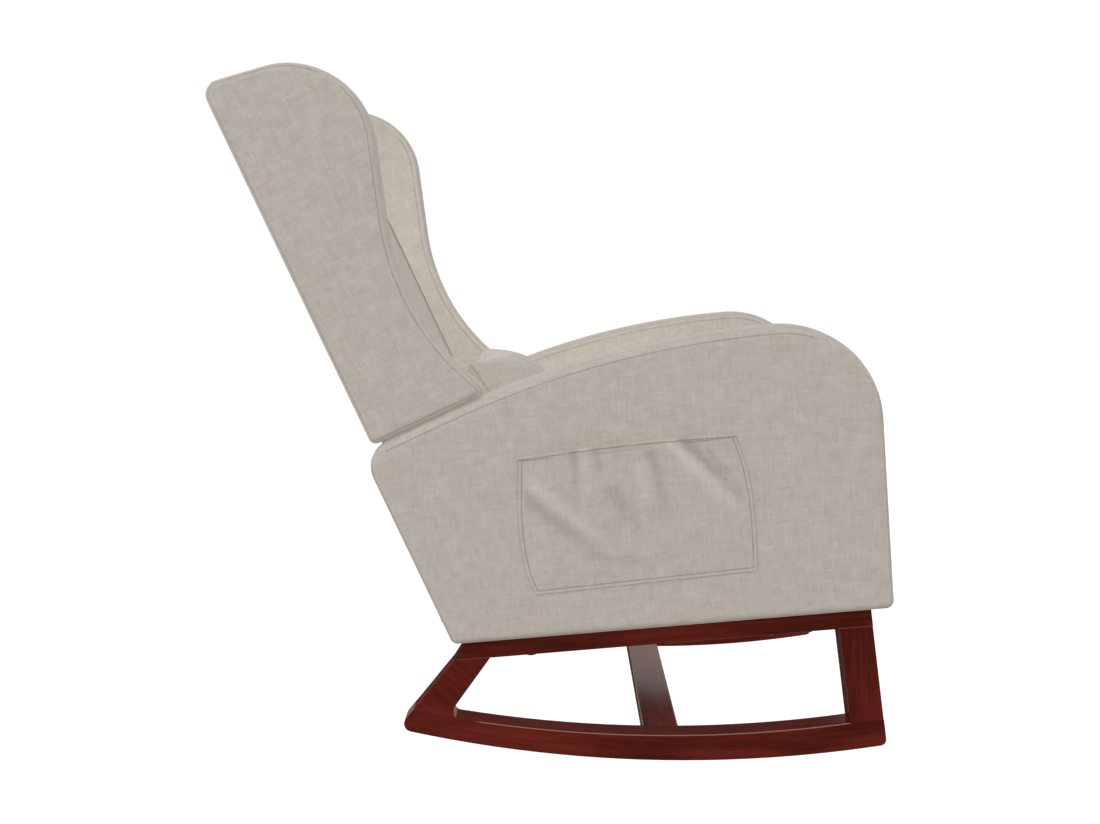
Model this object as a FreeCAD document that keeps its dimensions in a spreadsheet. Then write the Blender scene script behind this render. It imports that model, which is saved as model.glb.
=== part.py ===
import FreeCAD, Part
import math
import os
import re
import Sketcher

# An upholstered high wing chair on two bow-shaped wooden rockers.
# The front of the chair faces -Y, its width lies along X, and it stands on Z = 0.
# The seat unit and the rockers are drawn with the seat rails level, the back unit is drawn
# upright, and each piece then leans into place about the centre of the rockers' curve.

doc = FreeCAD.newDocument("WingRocker")
sheet = doc.addObject("Spreadsheet::Sheet", "Sizes")

sizes = {
    # Whole chair
    "half_width": 360,
    "lean": 4.9,
    "rake": 20,
    "contact_y": -184,
    "soft_gap": 0.3,
    "overcut": 50,
    "wood_round": 2.5,
    # Rockers, measured from the point below the centre of their curve
    "runner_radius": 1840,
    "runner_depth": 38.7,
    "runner_top_radius": 1865,
    "runner_top_shift": 16.3,
    "base_inset": 15,
    "base_thickness": 45,
    "rail_under": 179,
    "rail_height": 25,
    "front_foot_depth": 138.6,
    "front_top_depth": 128.6,
    "front_post_width": 48,
    "front_landing": 42,
    "rear_top_depth": 470.8,
    "rear_post_width": 53.5,
    "rear_post_lean": 43.9,
    "rear_post_taper": 3.5,
    "rear_landing": 114,
    "rear_tip_round": 12,
    "rear_crotch_round": 10,
    "front_tip_round": 9,
    # Stretcher
    "stretcher_width": 52,
    "stretcher_thickness": 22,
    "stretcher_lift": 15,
    "stretcher_offset": 53,
    # Dowels and bolts
    "dowel_radius": 5,
    "dowel_spread": 10,
    "dowel_length": 40,
    "dowel_short_end": 15,
    "dowel_clearance": 0.1,
    "rear_dowel_high": 21.4,
    "rear_dowel_low": 34.2,
    "bolt_radius": 4,
    "bolt_length": 48,
    "bolt_head_radius": 6.5,
    "bolt_head_height": 6,
    "bolt_offset": 13,
    "bolt_clearance": 0.5,
    "washer_radius": 9,
    "washer_thickness": 1.6,
    "insert_radius": 6,
    "insert_length": 25,
    "first_bolt": 41,
    "bolt_pitch": 200,
    # Seat frame
    "front_face": 164.6,
    "front_foot": 161.1,
    "frame_inset": 14,
    "seat_rail_height": 80,
    "side_rail_thickness": 40,
    "front_rail_thickness": 25,
    "rear_rail_thickness": 40,
    "rear_board_thickness": 18,
    "block_leg": 60,
    "block_height": 30,
    "block_lift": 7,
    # Arms
    "arm_height": 617,
    "arm_thickness": 100,
    "arm_skin": 18,
    "arm_panel": 15,
    "arm_nose": 140,
    "arm_edge": 14,
    "arm_blend": 0.98,
    "cover_round": 7,
    "rear_step": 16,
    "rear_corner": 38,
    "foot_corner": 12,
    # Seat springs and deck
    "wire_radius": 1.9,
    "spring_lift": 4,
    "spring_pitch": 100,
    "spring_sway": 22,
    "spring_turns": 18,
    "clip_width": 16,
    "clip_length": 14,
    "clip_height": 9,
    "deck_thickness": 8,
    "dust_cover": 1.2,
    # Seat cushion
    "cushion_front": 130,
    "cushion_rear": 108,
    "cushion_depth": 562,
    "cushion_nose": 156.6,
    "cushion_crown": 14,
    "cushion_bulge": 9,
    "cushion_draw": 9,
    "cushion_clearance": 2,
    # Back unit, measured from its rear bottom corner
    "foot_depth": 556.5,
    "foot_height": 496.2,
    "unit_gap": 3,
    "back_height": 553,
    "back_pad_front": 100.5,
    "back_tail": 140,
    "tail_clearance": 3,
    "back_cover": 12,
    "back_rail_thickness": 19,
    "back_rail_height": 50,
    "back_post_thickness": 25,
    "back_post_width": 40,
    "back_post_center": 235,
    "back_post_tail": 165,
    "webbing_width": 50,
    "webbing_thickness": 1.2,
    "bracket_width": 36,
    "bracket_plate": 3,
    "bracket_height": 100,
    "bracket_top": 45,
    "tongue_width": 22,
    "tongue_grip": 25,
    "tongue_end": 5,
    # Wings
    "wing_inset": 5,
    "wing_thickness": 72,
    "wing_skin": 18,
    "wing_panel": 15,
    "wing_waist": 110.5,
    "wing_waist_height": 148,
    "wing_foot_flare": 25.3,
    "wing_head_flare": 17.5,
    "wing_waist_round": 350,
    "wing_top_slope": 9,
    "wing_nose": 117,
    "wing_corner": 11,
    "wing_top_corner": 22,
    "wing_edge": 12,
    # Side pockets
    "pocket_front": 30.4,
    "pocket_rear": 345.4,
    "pocket_low": 269,
    "pocket_high": 462,
    "pocket_rise": 7,
    "pocket_flare": 13,
    "pocket_swell": 12,
    "pocket_slope": 19,
    "pocket_cloth": 1.6,
    # Lumbar pillow
    "pillow_width": 440,
    "pillow_height": 215,
    "pillow_thickness": 160,
    "pillow_tilt": 30,
    "pillow_depth": 367.3,
    "pillow_lift": 506.6,
    "pillow_edge": 14,
    "pillow_draw": 16,
}
for number, (word, size) in enumerate(sizes.items(), start=1):
    sheet.set(f"A{number}", word)
    sheet.set(f"B{number}", str(size))
    sheet.setAlias(f"B{number}", word)
doc.recompute()

known = re.compile(r"\b(" + "|".join(sorted(sizes, key=len, reverse=True)) + r")\b")
nodes = []


def value(formula):
    """Work a formula of the sheet's words out to a number."""
    return float(sheet.evalExpression(str(formula)))


def bind(feature, prop, formula):
    """Tie a property to a formula of the sheet's words."""
    feature.setExpression(prop, known.sub(r"Sizes.\1", str(formula)))


# The leaning frames. "seat" turns about the centre of the rockers' curve by the lean.
# "back" stands at the back unit's rear bottom corner and "pillow" at the pillow's middle.
seat_y = "(contact_y - runner_radius * sin(lean))"
seat_z = "(runner_radius * (1 - cos(lean)))"


def leaning(angle, depth, height):
    """A frame whose origin is a point of the seat frame, leaning by an angle more than it."""
    return (
        f"(lean + {angle})",
        f"({seat_y} + {depth} * cos(lean) + {height} * sin(lean))",
        f"({seat_z} - {depth} * sin(lean) + {height} * cos(lean))",
    )


frames = {
    "floor": ("0", "0", "0"),
    "seat": ("lean", seat_y, seat_z),
    "back": leaning("rake", "foot_depth", "foot_height"),
    "pillow": leaning("pillow_tilt", "pillow_depth", "pillow_lift"),
}


def sit(feature, frame):
    """Lean a feature that was drawn in a frame into its place in the chair."""
    angle, y, z = frames[frame]
    if frame != "floor":
        feature.Placement = FreeCAD.Placement(
            FreeCAD.Vector(0, value(y), value(z)),
            FreeCAD.Rotation(FreeCAD.Vector(1, 0, 0), -value(angle)),
        )
        bind(feature, ".Placement.Rotation.Angle", f"-{angle}")
        bind(feature, ".Placement.Base.y", y)
        bind(feature, ".Placement.Base.z", z)
    return feature


def node(feature, label):
    """Name a finished sub-part and put it on the list that is written out."""
    feature.Label = label
    nodes.append(feature)
    return feature


def name_of(label, role):
    return f"{label}_{role}"


def draw(sketch, corners):
    """Draw a closed outline of straight sides whose corners are rounded where a radius is given.

    A corner is (across, up) or (across, up, radius), all formulas. Each corner is a fixed
    point on both of its sides, and each rounding is an arc tangent to both.
    """
    points = [FreeCAD.Vector(value(c[0]), value(c[1]), 0) for c in corners]
    count = len(points)
    starts, ends, arcs = [], [], {}
    for i, point in enumerate(points):
        before = (points[i - 1] - point).normalize()
        after = (points[(i + 1) % count] - point).normalize()
        start = end = point
        if len(corners[i]) > 2:
            radius = value(corners[i][2])
            half = before.getAngle(after) / 2
            center = point + (before + after).normalize() * (radius / math.sin(half))
            end = point + before * (radius / math.tan(half))
            start = point + after * (radius / math.tan(half))
            leftward = after.cross(before).z > 0
            angles = [math.atan2(p.y - center.y, p.x - center.x) for p in (end, start)]
            first, last = angles if leftward else angles[::-1]
            circle = Part.Circle(center, FreeCAD.Vector(0, 0, 1), radius)
            arcs[i] = (Part.ArcOfCircle(circle, first, last), leftward)
        ends.append(end)
        starts.append(start)
    lines = [
        sketch.addGeometry(Part.LineSegment(starts[i], ends[(i + 1) % count]), False)
        for i in range(count)
    ]
    for i in range(count):
        into, out = lines[i - 1], lines[i]
        if i not in arcs:
            sketch.addConstraint(Sketcher.Constraint("Coincident", into, 2, out, 1))
            held, vertex = out, 1
        else:
            curve, leftward = arcs[i]
            arc = sketch.addGeometry(curve, False)
            held, vertex = sketch.addGeometry(Part.Point(points[i]), True), 1
            near, far = (1, 2) if leftward else (2, 1)
            sketch.addConstraint(Sketcher.Constraint("Tangent", into, 2, arc, near))
            sketch.addConstraint(Sketcher.Constraint("Tangent", out, 1, arc, far))
            row = sketch.addConstraint(Sketcher.Constraint("Radius", arc, value(corners[i][2])))
            bind(sketch, f"Constraints[{row}]", corners[i][2])
            sketch.addConstraint(Sketcher.Constraint("PointOnObject", held, 1, into))
            sketch.addConstraint(Sketcher.Constraint("PointOnObject", held, 1, out))
        for kind, formula, size in (
            ("DistanceX", corners[i][0], points[i].x),
            ("DistanceY", corners[i][1], points[i].y),
        ):
            row = sketch.addConstraint(Sketcher.Constraint(kind, -1, 1, held, vertex, size))
            bind(sketch, f"Constraints[{row}]", formula)


def body(label):
    return doc.addObject("PartDesign::Body", name_of(label, "body"))


def plane_sketch(piece, role, plane, offset):
    """Add a sketch to a body, parallel to one of its origin planes and offset from it."""
    sketch = piece.newObject("Sketcher::SketchObject", name_of(piece.Name, role))
    flat = next(f for f in piece.Origin.OriginFeatures if f.Role == plane)
    sketch.AttachmentSupport = (flat, [""])
    sketch.MapMode = "FlatFace"
    bind(sketch, ".AttachmentOffset.Base.z", offset)
    return sketch


def pad(piece, corners, low, high, plane="YZ_Plane"):
    """Pad an outline, seen from the side, between two distances along X."""
    sketch = plane_sketch(piece, "outline", plane, low)
    draw(sketch, corners)
    solid = piece.newObject("PartDesign::Pad", name_of(piece.Name, "pad"))
    solid.Profile = sketch
    bind(solid, "Length", f"{high} - ({low})")
    doc.recompute()
    return solid


def pocket(piece, corners, low, high, role, plane="YZ_Plane"):
    """Pocket an outline out of a body between two distances along X."""
    whole = piece.Shape.Volume
    sketch = plane_sketch(piece, role, plane, high)
    draw(sketch, corners)
    cut = piece.newObject("PartDesign::Pocket", name_of(piece.Name, role + "_cut"))
    cut.Profile = sketch
    bind(cut, "Length", f"{high} - ({low})")
    doc.recompute()
    if not piece.Shape.Volume < whole - 1:
        raise RuntimeError(f"{cut.Name} removes nothing")
    return cut


def round_edges(piece, radius, chosen):
    """Round the edges of a body that a test on their two end points picks."""
    tip = piece.Tip
    picked = [
        f"Edge{i}"
        for i, edge in enumerate(tip.Shape.Edges, start=1)
        if chosen(edge, [v.Point for v in edge.Vertexes])
    ]
    fillet = piece.newObject("PartDesign::Fillet", name_of(piece.Name, f"fillet{len(piece.Group)}"))
    fillet.Base = (tip, picked)
    bind(fillet, "Radius", radius)
    doc.recompute()
    return fillet


def at_x(*places):
    """A test for edges that lie in planes of constant X."""
    return lambda edge, ends: any(all(abs(p.x - x) < 1e-4 for p in ends) for x in places)


def board(label, frame, corners, low, high):
    """A piece of one thickness: an outline padded along X, seated in its frame."""
    piece = body(label)
    pad(piece, corners, low, high)
    return sit(piece, frame)


def block(label, frame, depths, heights, low, high):
    """A piece that is a plain rectangle from the side."""
    (a, b), (c, d) = depths, heights
    return board(label, frame, [(a, c), (b, c), (b, d), (a, d)], low, high)


turns = {
    "x": FreeCAD.Rotation(FreeCAD.Vector(0, 1, 0), 90),
    "z": FreeCAD.Rotation(),
}


def rods(label, frame, spots, radius, length, axis="z"):
    """A group of round rods of one size, each starting at an (x, depth, height) of a frame."""
    members = []
    for number, spot in enumerate(spots):
        rod = doc.addObject("Part::Cylinder", f"{label}_{number}")
        bind(rod, "Radius", radius)
        bind(rod, "Height", length)
        rod.Placement = FreeCAD.Placement(FreeCAD.Vector(), turns[axis])
        for letter, formula in zip("xyz", spot):
            bind(rod, f".Placement.Base.{letter}", formula)
        members.append(rod)
    group = doc.addObject("Part::Compound", label + "_group")
    group.Links = members
    doc.recompute()
    return sit(group, frame)


def drilled(piece, label, tools):
    """Cut groups of rods out of a piece."""
    whole = piece.Shape.Volume
    if len(tools) > 1:
        tool = doc.addObject("Part::Compound", name_of(label, "holes"))
        tool.Links = tools
    else:
        tool = tools[0]
    cut = doc.addObject("Part::Cut", name_of(label, "drilled"))
    cut.Base = piece
    cut.Tool = tool
    doc.recompute()
    if not cut.Shape.Volume < whole - 1:
        raise RuntimeError(f"{label} is not drilled")
    return cut


def mirrored(sign, inner, outer):
    """The low and high X of a piece on the sitter's left (+X) or right (-X)."""
    return (f"{inner}", f"{outer}") if sign > 0 else (f"-({outer})", f"-({inner})")


sides = {"right": -1, "left": 1}
hands = ("right", "left")


# Lines that several pieces share

base_outer = "(half_width - base_inset)"
base_inner = "(half_width - base_inset - base_thickness)"
base_middle = "(half_width - base_inset - base_thickness / 2)"
seat_floor = "(rail_under + rail_height)"
seat_frame_top = f"({seat_floor} + seat_rail_height)"
panel_outer = "(half_width - arm_skin)"
panel_inner = "(half_width - arm_skin - arm_panel)"
side_rail_inner = f"({panel_inner} - side_rail_thickness)"
arm_inner = "(half_width - arm_thickness)"
frame_front = "-(front_foot - frame_inset)"
spring_height = f"({seat_frame_top} + spring_lift)"
deck_low = f"({spring_height} + wire_radius + soft_gap)"
deck_high = f"({deck_low} + deck_thickness)"
cushion_low = f"({deck_high} + soft_gap)"
half_cushion = f"({arm_inner} - cushion_clearance)"
wing_outer = "(half_width - wing_inset)"
wing_inner = f"({wing_outer} - wing_thickness)"
wing_panel_outer = f"({wing_outer} - wing_skin)"
wing_panel_inner = f"({wing_outer} - wing_skin - wing_panel)"
board_rear = "(rear_step - frame_inset)"
board_front = f"({board_rear} - rear_board_thickness)"
cover_front = "(-back_cover)"
post_rear = "(-back_cover - back_rail_thickness)"
post_front = f"({post_rear} - back_post_thickness)"
pad_rear = f"({post_front} - webbing_thickness - soft_gap)"
pad_front = "(-back_pad_front)"


def from_back(t, s):
    """A point of the back unit's frame, in the seat frame."""
    return (
        f"(foot_depth + ({t}) * cos(rake) + ({s}) * sin(rake))",
        f"(foot_height - ({t}) * sin(rake) + ({s}) * cos(rake))",
    )


def raked_at(t, height):
    """The depth, at a height of the seat frame, of a line parallel to the back."""
    depth, level = from_back(t, "0")
    return f"({depth} - ({level} - ({height})) * tan(rake))"


# Rockers: two bows with posts and a top rail each, and one stretcher


def front_edge(height):
    """Outer line of the front post: straight, from the runner's toe to the rail's top."""
    return f"(-front_foot_depth + (front_foot_depth - front_top_depth) * ({height}) / {seat_floor})"


def rear_edge(height):
    """Outer line of the rear post, leaning out to the runner's tail."""
    return f"(rear_top_depth + (rail_under - ({height})) * tan(rear_post_lean))"


def rear_inner(height):
    """Inner line of the rear post, a little steeper than the outer one."""
    angle = "(rear_post_lean - rear_post_taper)"
    return f"(rear_top_depth - rear_post_width + (rail_under - ({height})) * tan({angle}))"


def front_inner(height):
    """Inner line of the front post."""
    return f"({front_edge(height)} + front_post_width)"


toe = "-10"
tail = "60"
runner_blank = [
    (front_edge(toe), toe),
    (rear_edge(tail), toe),
    (rear_edge(tail), tail),
    (rear_edge("rear_landing"), "rear_landing"),
    (rear_inner("rear_landing"), "rear_landing"),
    (front_inner("rear_landing"), "rear_landing"),
    (front_inner("front_landing"), "front_landing"),
    (front_edge("front_landing"), "front_landing"),
]
window = [
    (front_inner(toe), toe),
    (rear_inner(toe), toe),
    (rear_inner("rail_under"), "rail_under"),
    (front_inner("rail_under"), "rail_under"),
]


def disc(label, radius, across, up, low, high):
    """A round slab whose axis lies along X."""
    slab = doc.addObject("Part::Cylinder", label)
    slab.Placement = FreeCAD.Placement(FreeCAD.Vector(), turns["x"])
    bind(slab, "Radius", radius)
    bind(slab, "Height", f"{high} - ({low})")
    for letter, formula in zip("xyz", (low, across, up)):
        bind(slab, f".Placement.Base.{letter}", formula)
    return slab


def paired(kind, label, base, tool):
    """A boolean of two features: Cut or Common."""
    result = doc.addObject(f"Part::{kind}", label)
    result.Base, result.Tool = base, tool
    return result


def make_runner(label, low, high):
    """A bow: the lower circle, hollowed by the upper circle between the two posts' lines."""
    under = disc(name_of(label, "under"), "runner_radius", "0", "runner_radius", low, high)
    over = disc(
        name_of(label, "over"), "runner_top_radius", "runner_top_shift",
        "runner_top_radius + runner_depth", low, high,
    )
    opening = body(name_of(label, "window"))
    pad(opening, window, low, high)
    blank = body(label)
    pad(blank, runner_blank, low, high)
    hollow = paired("Common", name_of(label, "hollow"), over, opening)
    bow = paired("Cut", name_of(label, "bow"), paired("Common", name_of(label, "solid"), under, blank),
                 hollow)
    doc.recompute()
    rounds = []
    for i, edge in enumerate(bow.Shape.Edges, start=1):
        ends = [v.Point for v in edge.Vertexes]
        if len(ends) < 2 or abs(ends[0].x - ends[1].x) < 1:
            continue
        end = ends[0]
        from_low = math.hypot(end.y, end.z - value("runner_radius")) - value("runner_radius")
        from_top = (
            math.hypot(end.y - value("runner_top_shift"),
                       end.z - value("runner_top_radius + runner_depth"))
            - value("runner_top_radius")
        )
        if abs(from_low) < 0.01:
            size = value("rear_tip_round" if end.y > 0 else "front_tip_round")
            rounds.append((i, size, size))
        elif abs(from_top) < 0.01 and end.y > 0:
            size = value("rear_crotch_round")
            rounds.append((i, size, size))
    rounded = doc.addObject("Part::Fillet", name_of(label, "rounded"))
    rounded.Base = bow
    rounded.Edges = rounds
    doc.recompute()
    return sit(rounded, "seat")


rail_corners = [
    (front_edge("rail_under"), "rail_under"),
    (rear_edge("rail_under"), "rail_under"),
    (f"{rear_edge('rail_under')} - rail_height * tan(rear_post_lean - 6)", seat_floor),
    (front_edge(seat_floor), seat_floor),
]
front_post_corners = [
    (front_edge("front_landing"), "front_landing"),
    (f"{front_edge('front_landing')} + front_post_width", "front_landing"),
    (f"{front_edge('rail_under')} + front_post_width", "rail_under"),
    (front_edge("rail_under"), "rail_under"),
]
rear_post_corners = [
    (rear_inner("rear_landing"), "rear_landing"),
    (rear_edge("rear_landing"), "rear_landing"),
    (rear_edge("rail_under"), "rail_under"),
    (rear_inner("rail_under"), "rail_under"),
]

# Dowels stand upright across each joint, two side by side, the short end in the thinner piece.
long_end = "(dowel_length - dowel_short_end)"
joints = {
    "front_top": (f"{front_edge('rail_under')} + front_post_width / 2", f"rail_under - {long_end}"),
    "rear_top": (f"{rear_edge('rail_under')} - rear_dowel_high", f"rail_under - {long_end}"),
    "front_low": (
        f"{front_edge('front_landing')} + front_post_width / 2",
        "front_landing - dowel_short_end",
    ),
    "rear_low": (
        f"{rear_edge('rear_landing')} - rear_dowel_low",
        "rear_landing - dowel_short_end",
    ),
}


def dowel_spots(names, sign):
    return [
        (f"{sign} * {base_middle} + {step} * dowel_spread", *joints[joint])
        for joint in names
        for step in (-1, 1)
    ]


def bolt_spots(sign, height):
    across = f"{sign} * ({base_inner} + bolt_offset)"
    return [
        (across, f"-first_bolt + {i} * bolt_pitch", height) for i in range(3)
    ]


stretcher_rear = "(contact_y + stretcher_offset)"
stretcher_front = f"({stretcher_rear} - stretcher_width)"
stretcher_top = "(stretcher_lift + stretcher_thickness)"
stretcher_dowel_radius = "(dowel_radius - 1)"
stretcher_pins = [
    (
        f"{sign} * {base_inner} - dowel_length / 2",
        f"{stretcher_rear} - stretcher_width * {share}",
        "stretcher_lift + stretcher_thickness / 2",
    )
    for sign in (-1, 1)
    for share in (0.25, 0.75)
]
pin_holes = rods(
    "stretcher_pin_holes", "floor", stretcher_pins, f"{stretcher_dowel_radius} + dowel_clearance",
    "dowel_length + dowel_clearance", "x",
)

hole = "dowel_radius + dowel_clearance"
for hand in hands:
    sign = sides[hand]
    low, high = mirrored(sign, base_inner, base_outer)
    joint_holes = {
        joint: rods(
            f"{hand}_{joint}_holes", "seat", dowel_spots([joint], sign), hole,
            "dowel_length + dowel_clearance",
        )
        for joint in joints
    }
    bolt_holes = rods(
        f"{hand}_bolt_holes", "seat", bolt_spots(sign, "rail_under - 1"),
        "bolt_radius + bolt_clearance", "rail_height + 2",
    )

    runner = make_runner(f"{hand}_runner", low, high)
    node(
        drilled(
            runner, f"{hand}_runner",
            [joint_holes["front_low"], joint_holes["rear_low"], pin_holes],
        ),
        f"{hand}_runner",
    )

    rail = board(f"{hand}_base_rail", "seat", rail_corners, low, high)
    round_edges(rail, "wood_round", lambda edge, ends: abs(ends[0].x - ends[1].x) < 1e-4
                and all(abs(p.z - value("rail_under")) < 1e-4 for p in ends))
    node(
        drilled(
            rail, f"{hand}_base_rail",
            [joint_holes["front_top"], joint_holes["rear_top"], bolt_holes],
        ),
        f"{hand}_base_rail",
    )

    for post, corners, above, below in (
        ("front_post", front_post_corners, "front_top", "front_low"),
        ("rear_post", rear_post_corners, "rear_top", "rear_low"),
    ):
        upright = board(f"{hand}_{post}", "seat", corners, low, high)
        round_edges(upright, "wood_round", lambda edge, ends: abs(ends[0].x - ends[1].x) < 1e-4
                    and abs(ends[0].z - ends[1].z) > 1)
        node(
            drilled(upright, f"{hand}_{post}", [joint_holes[above], joint_holes[below]]),
            f"{hand}_{post}",
        )

stretcher = block(
    "runner_stretcher", "floor", (stretcher_front, stretcher_rear),
    ("stretcher_lift", stretcher_top), f"-{base_inner}", base_inner,
)
round_edges(stretcher, "wood_round", lambda edge, ends: abs(ends[0].x - ends[1].x) > 1)
node(drilled(stretcher, "runner_stretcher", [pin_holes]), "runner_stretcher")

both = [spot for hand in hands for spot in dowel_spots(joints, sides[hand])]
node(rods("base_dowels", "seat", both, "dowel_radius", "dowel_length"), "base_dowels")
node(
    rods("stretcher_dowels", "floor", stretcher_pins, stretcher_dowel_radius, "dowel_length", "x"),
    "stretcher_dowels",
)


# Seat frame


def side_rail_corners():
    rear_low = raked_at(board_front, seat_floor)
    rear_high = raked_at(board_front, seat_frame_top)
    return [
        (frame_front, seat_floor),
        (rear_low, seat_floor),
        (rear_high, seat_frame_top),
        (frame_front, seat_frame_top),
    ]


insert_top = f"({seat_floor} + insert_length)"
for hand in hands:
    sign = sides[hand]
    low, high = mirrored(sign, side_rail_inner, panel_inner)
    rail = board(f"{hand}_seat_rail", "seat", side_rail_corners(), low, high)
    sockets = rods(
        f"{hand}_insert_holes", "seat", bolt_spots(sign, f"{seat_floor} - 1"),
        "insert_radius + dowel_clearance", "insert_length + 1 + dowel_clearance",
    )
    node(drilled(rail, f"{hand}_seat_rail", [sockets]), f"{hand}_seat_rail")

front_rail_rear = f"({frame_front} + front_rail_thickness)"
node(
    block(
        "front_seat_rail", "seat", (frame_front, front_rail_rear), (seat_floor, seat_frame_top),
        f"-{side_rail_inner}", side_rail_inner,
    ),
    "front_seat_rail",
)
rear_rail_rear = raked_at(board_front, seat_floor)
rear_rail_front = f"({rear_rail_rear} - rear_rail_thickness)"
node(
    block(
        "rear_seat_rail", "seat", (rear_rail_front, rear_rail_rear), (seat_floor, seat_frame_top),
        f"-{side_rail_inner}", side_rail_inner,
    ),
    "rear_seat_rail",
)

board_top = from_back(board_rear, "-unit_gap - frame_inset")
board_front_top = from_back(board_front, "-unit_gap - frame_inset")
node(
    board(
        "seat_back_board", "seat",
        [
            (raked_at(board_front, seat_floor), seat_floor),
            (raked_at(board_rear, seat_floor), seat_floor),
            board_top,
            board_front_top,
        ],
        f"-{panel_inner}", panel_inner,
    ),
    "seat_back_board",
)

corner_blocks = []
for number, (sign, depth, way) in enumerate(
    (s, d, w) for s in (-1, 1) for d, w in ((front_rail_rear, 1), (rear_rail_front, -1))
):
    piece = body(f"corner_block_{number}")
    lift = f"({seat_floor} + block_lift)"
    inner = f"{sign} * {side_rail_inner}"
    corners = [
        (inner, depth),
        (f"{inner} - {sign} * block_leg", depth),
        (inner, f"{depth} + {way} * block_leg"),
    ]
    sketch = plane_sketch(piece, "outline", "XY_Plane", lift)
    draw(sketch, corners)
    solid = piece.newObject("PartDesign::Pad", name_of(piece.Name, "pad"))
    solid.Profile = sketch
    bind(solid, "Length", "block_height")
    corner_blocks.append(piece)
group = doc.addObject("Part::Compound", "corner_blocks_group")
group.Links = corner_blocks
node(sit(group, "seat"), "seat_corner_blocks")

# Bolts up through the base rails into threaded inserts in the side rails
bolt_start = "(rail_under - washer_thickness)"
shanks = [spot for hand in hands for spot in bolt_spots(sides[hand], bolt_start)]
heads = [
    spot for hand in hands
    for spot in bolt_spots(sides[hand], f"{bolt_start} - bolt_head_height")
]


def fused(label, parts):
    group = doc.addObject("Part::MultiFuse", name_of(label, "fused"))
    group.Shapes = parts
    doc.recompute()
    return group


node(
    fused(
        "base_bolts",
        [
            rods("base_bolt_shanks", "seat", shanks, "bolt_radius", "bolt_length"),
            rods("base_bolt_heads", "seat", heads, "bolt_head_radius", "bolt_head_height"),
        ],
    ),
    "base_bolts",
)


def sleeves(label, frame, spots, outer, inner, length):
    """A group of rings: outer rods with inner rods cut through them."""
    solid = rods(f"{label}_outer", frame, spots, outer, length)
    core = rods(f"{label}_inner", frame, spots, inner, length)
    cut = doc.addObject("Part::Cut", name_of(label, "rings"))
    cut.Base, cut.Tool = solid, core
    doc.recompute()
    return cut


node(
    sleeves(
        "base_washers", "seat", shanks, "washer_radius", "bolt_radius + dowel_clearance",
        "washer_thickness",
    ),
    "base_washers",
)
insert_spots = [spot for hand in hands for spot in bolt_spots(sides[hand], seat_floor)]
node(
    sleeves(
        "threaded_inserts", "seat", insert_spots, "insert_radius",
        "bolt_radius + dowel_clearance", "insert_length",
    ),
    "threaded_inserts",
)


# Seat springs: flat zigzag wires from rail to rail, each end bar held in a clip

spring_front = value(f"{front_rail_rear} - front_rail_thickness / 2")
spring_rear = value(f"{rear_rail_front} + front_rail_thickness / 2")


def zigzag_path(x, y0, y1, z, sway, turns_wanted):
    """A flat zigzag of straight bars across and half circles at their ends."""
    step = (y1 - y0) / turns_wanted
    radius = step / 2
    edges = []
    for turn in range(turns_wanted + 1):
        y = y0 + turn * step
        side = 1 if turn % 2 == 0 else -1
        here = FreeCAD.Vector(x - side * sway, y, z)
        there = FreeCAD.Vector(x + side * sway, y, z)
        edges.append(Part.LineSegment(here, there).toShape())
        if turn < turns_wanted:
            tip = FreeCAD.Vector(there.x + side * radius, y + radius, z)
            after = FreeCAD.Vector(there.x, y + step, z)
            edges.append(Part.Arc(there, tip, after).toShape())
    return Part.Wire(edges)


def wire_along(path, radius):
    """A round wire swept along a path."""
    start = path.Edges[0].firstVertex().Point
    way = path.Edges[0].tangentAt(path.Edges[0].FirstParameter)
    ring = Part.Wire([Part.makeCircle(radius, start, way)])
    return path.makePipeShell([ring], True, False)


spring_shapes = []
clip_spots = []
for row in range(-2, 3):
    x = row * value("spring_pitch")
    path = zigzag_path(
        x, spring_front, spring_rear, value(spring_height),
        value("spring_sway"), int(value("spring_turns")),
    )
    spring_shapes.append(wire_along(path, value("wire_radius")))
    clip_spots += [(x, spring_front), (x, spring_rear)]
springs = doc.addObject("Part::Feature", "seat_springs_wire")
springs.Shape = Part.makeCompound(spring_shapes)
node(sit(springs, "seat"), "seat_springs")

clips = []
for number, (x, y) in enumerate(clip_spots):
    clip = doc.addObject("Part::Box", f"clip_{number}")
    bind(clip, "Length", "clip_width")
    bind(clip, "Width", "clip_length")
    bind(clip, "Height", "clip_height")
    clip.Placement.Base = FreeCAD.Vector(
        x - value("clip_width") / 2, y - value("clip_length") / 2, value(seat_frame_top)
    )
    clips.append(clip)
clip_blocks = doc.addObject("Part::Compound", "clip_blocks")
clip_blocks.Links = clips
grooves = rods(
    "clip_grooves", "floor",
    [(x - value("clip_width"), y, spring_height) for x, y in clip_spots],
    "wire_radius + dowel_clearance", "clip_width * 2", "x",
)
clip_cut = doc.addObject("Part::Cut", "spring_clips_cut")
clip_cut.Base, clip_cut.Tool = clip_blocks, grooves
doc.recompute()
node(sit(clip_cut, "seat"), "spring_clips")

deck_front = f"({front_rail_rear} + clip_length)"
deck_rear = f"({rear_rail_front} - clip_length / 2)"
node(
    block(
        "seat_deck_pad", "seat", (deck_front, deck_rear), (deck_low, deck_high),
        f"-{arm_inner} + cushion_clearance", f"{arm_inner} - cushion_clearance",
    ),
    "seat_deck_pad",
)
node(
    block(
        "dust_cover", "seat", (frame_front, raked_at(board_rear, seat_floor)),
        (f"{seat_floor} - dust_cover", seat_floor),
        f"-{base_inner} + soft_gap", f"{base_inner} - soft_gap",
    ),
    "dust_cover",
)


# Arms


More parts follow.
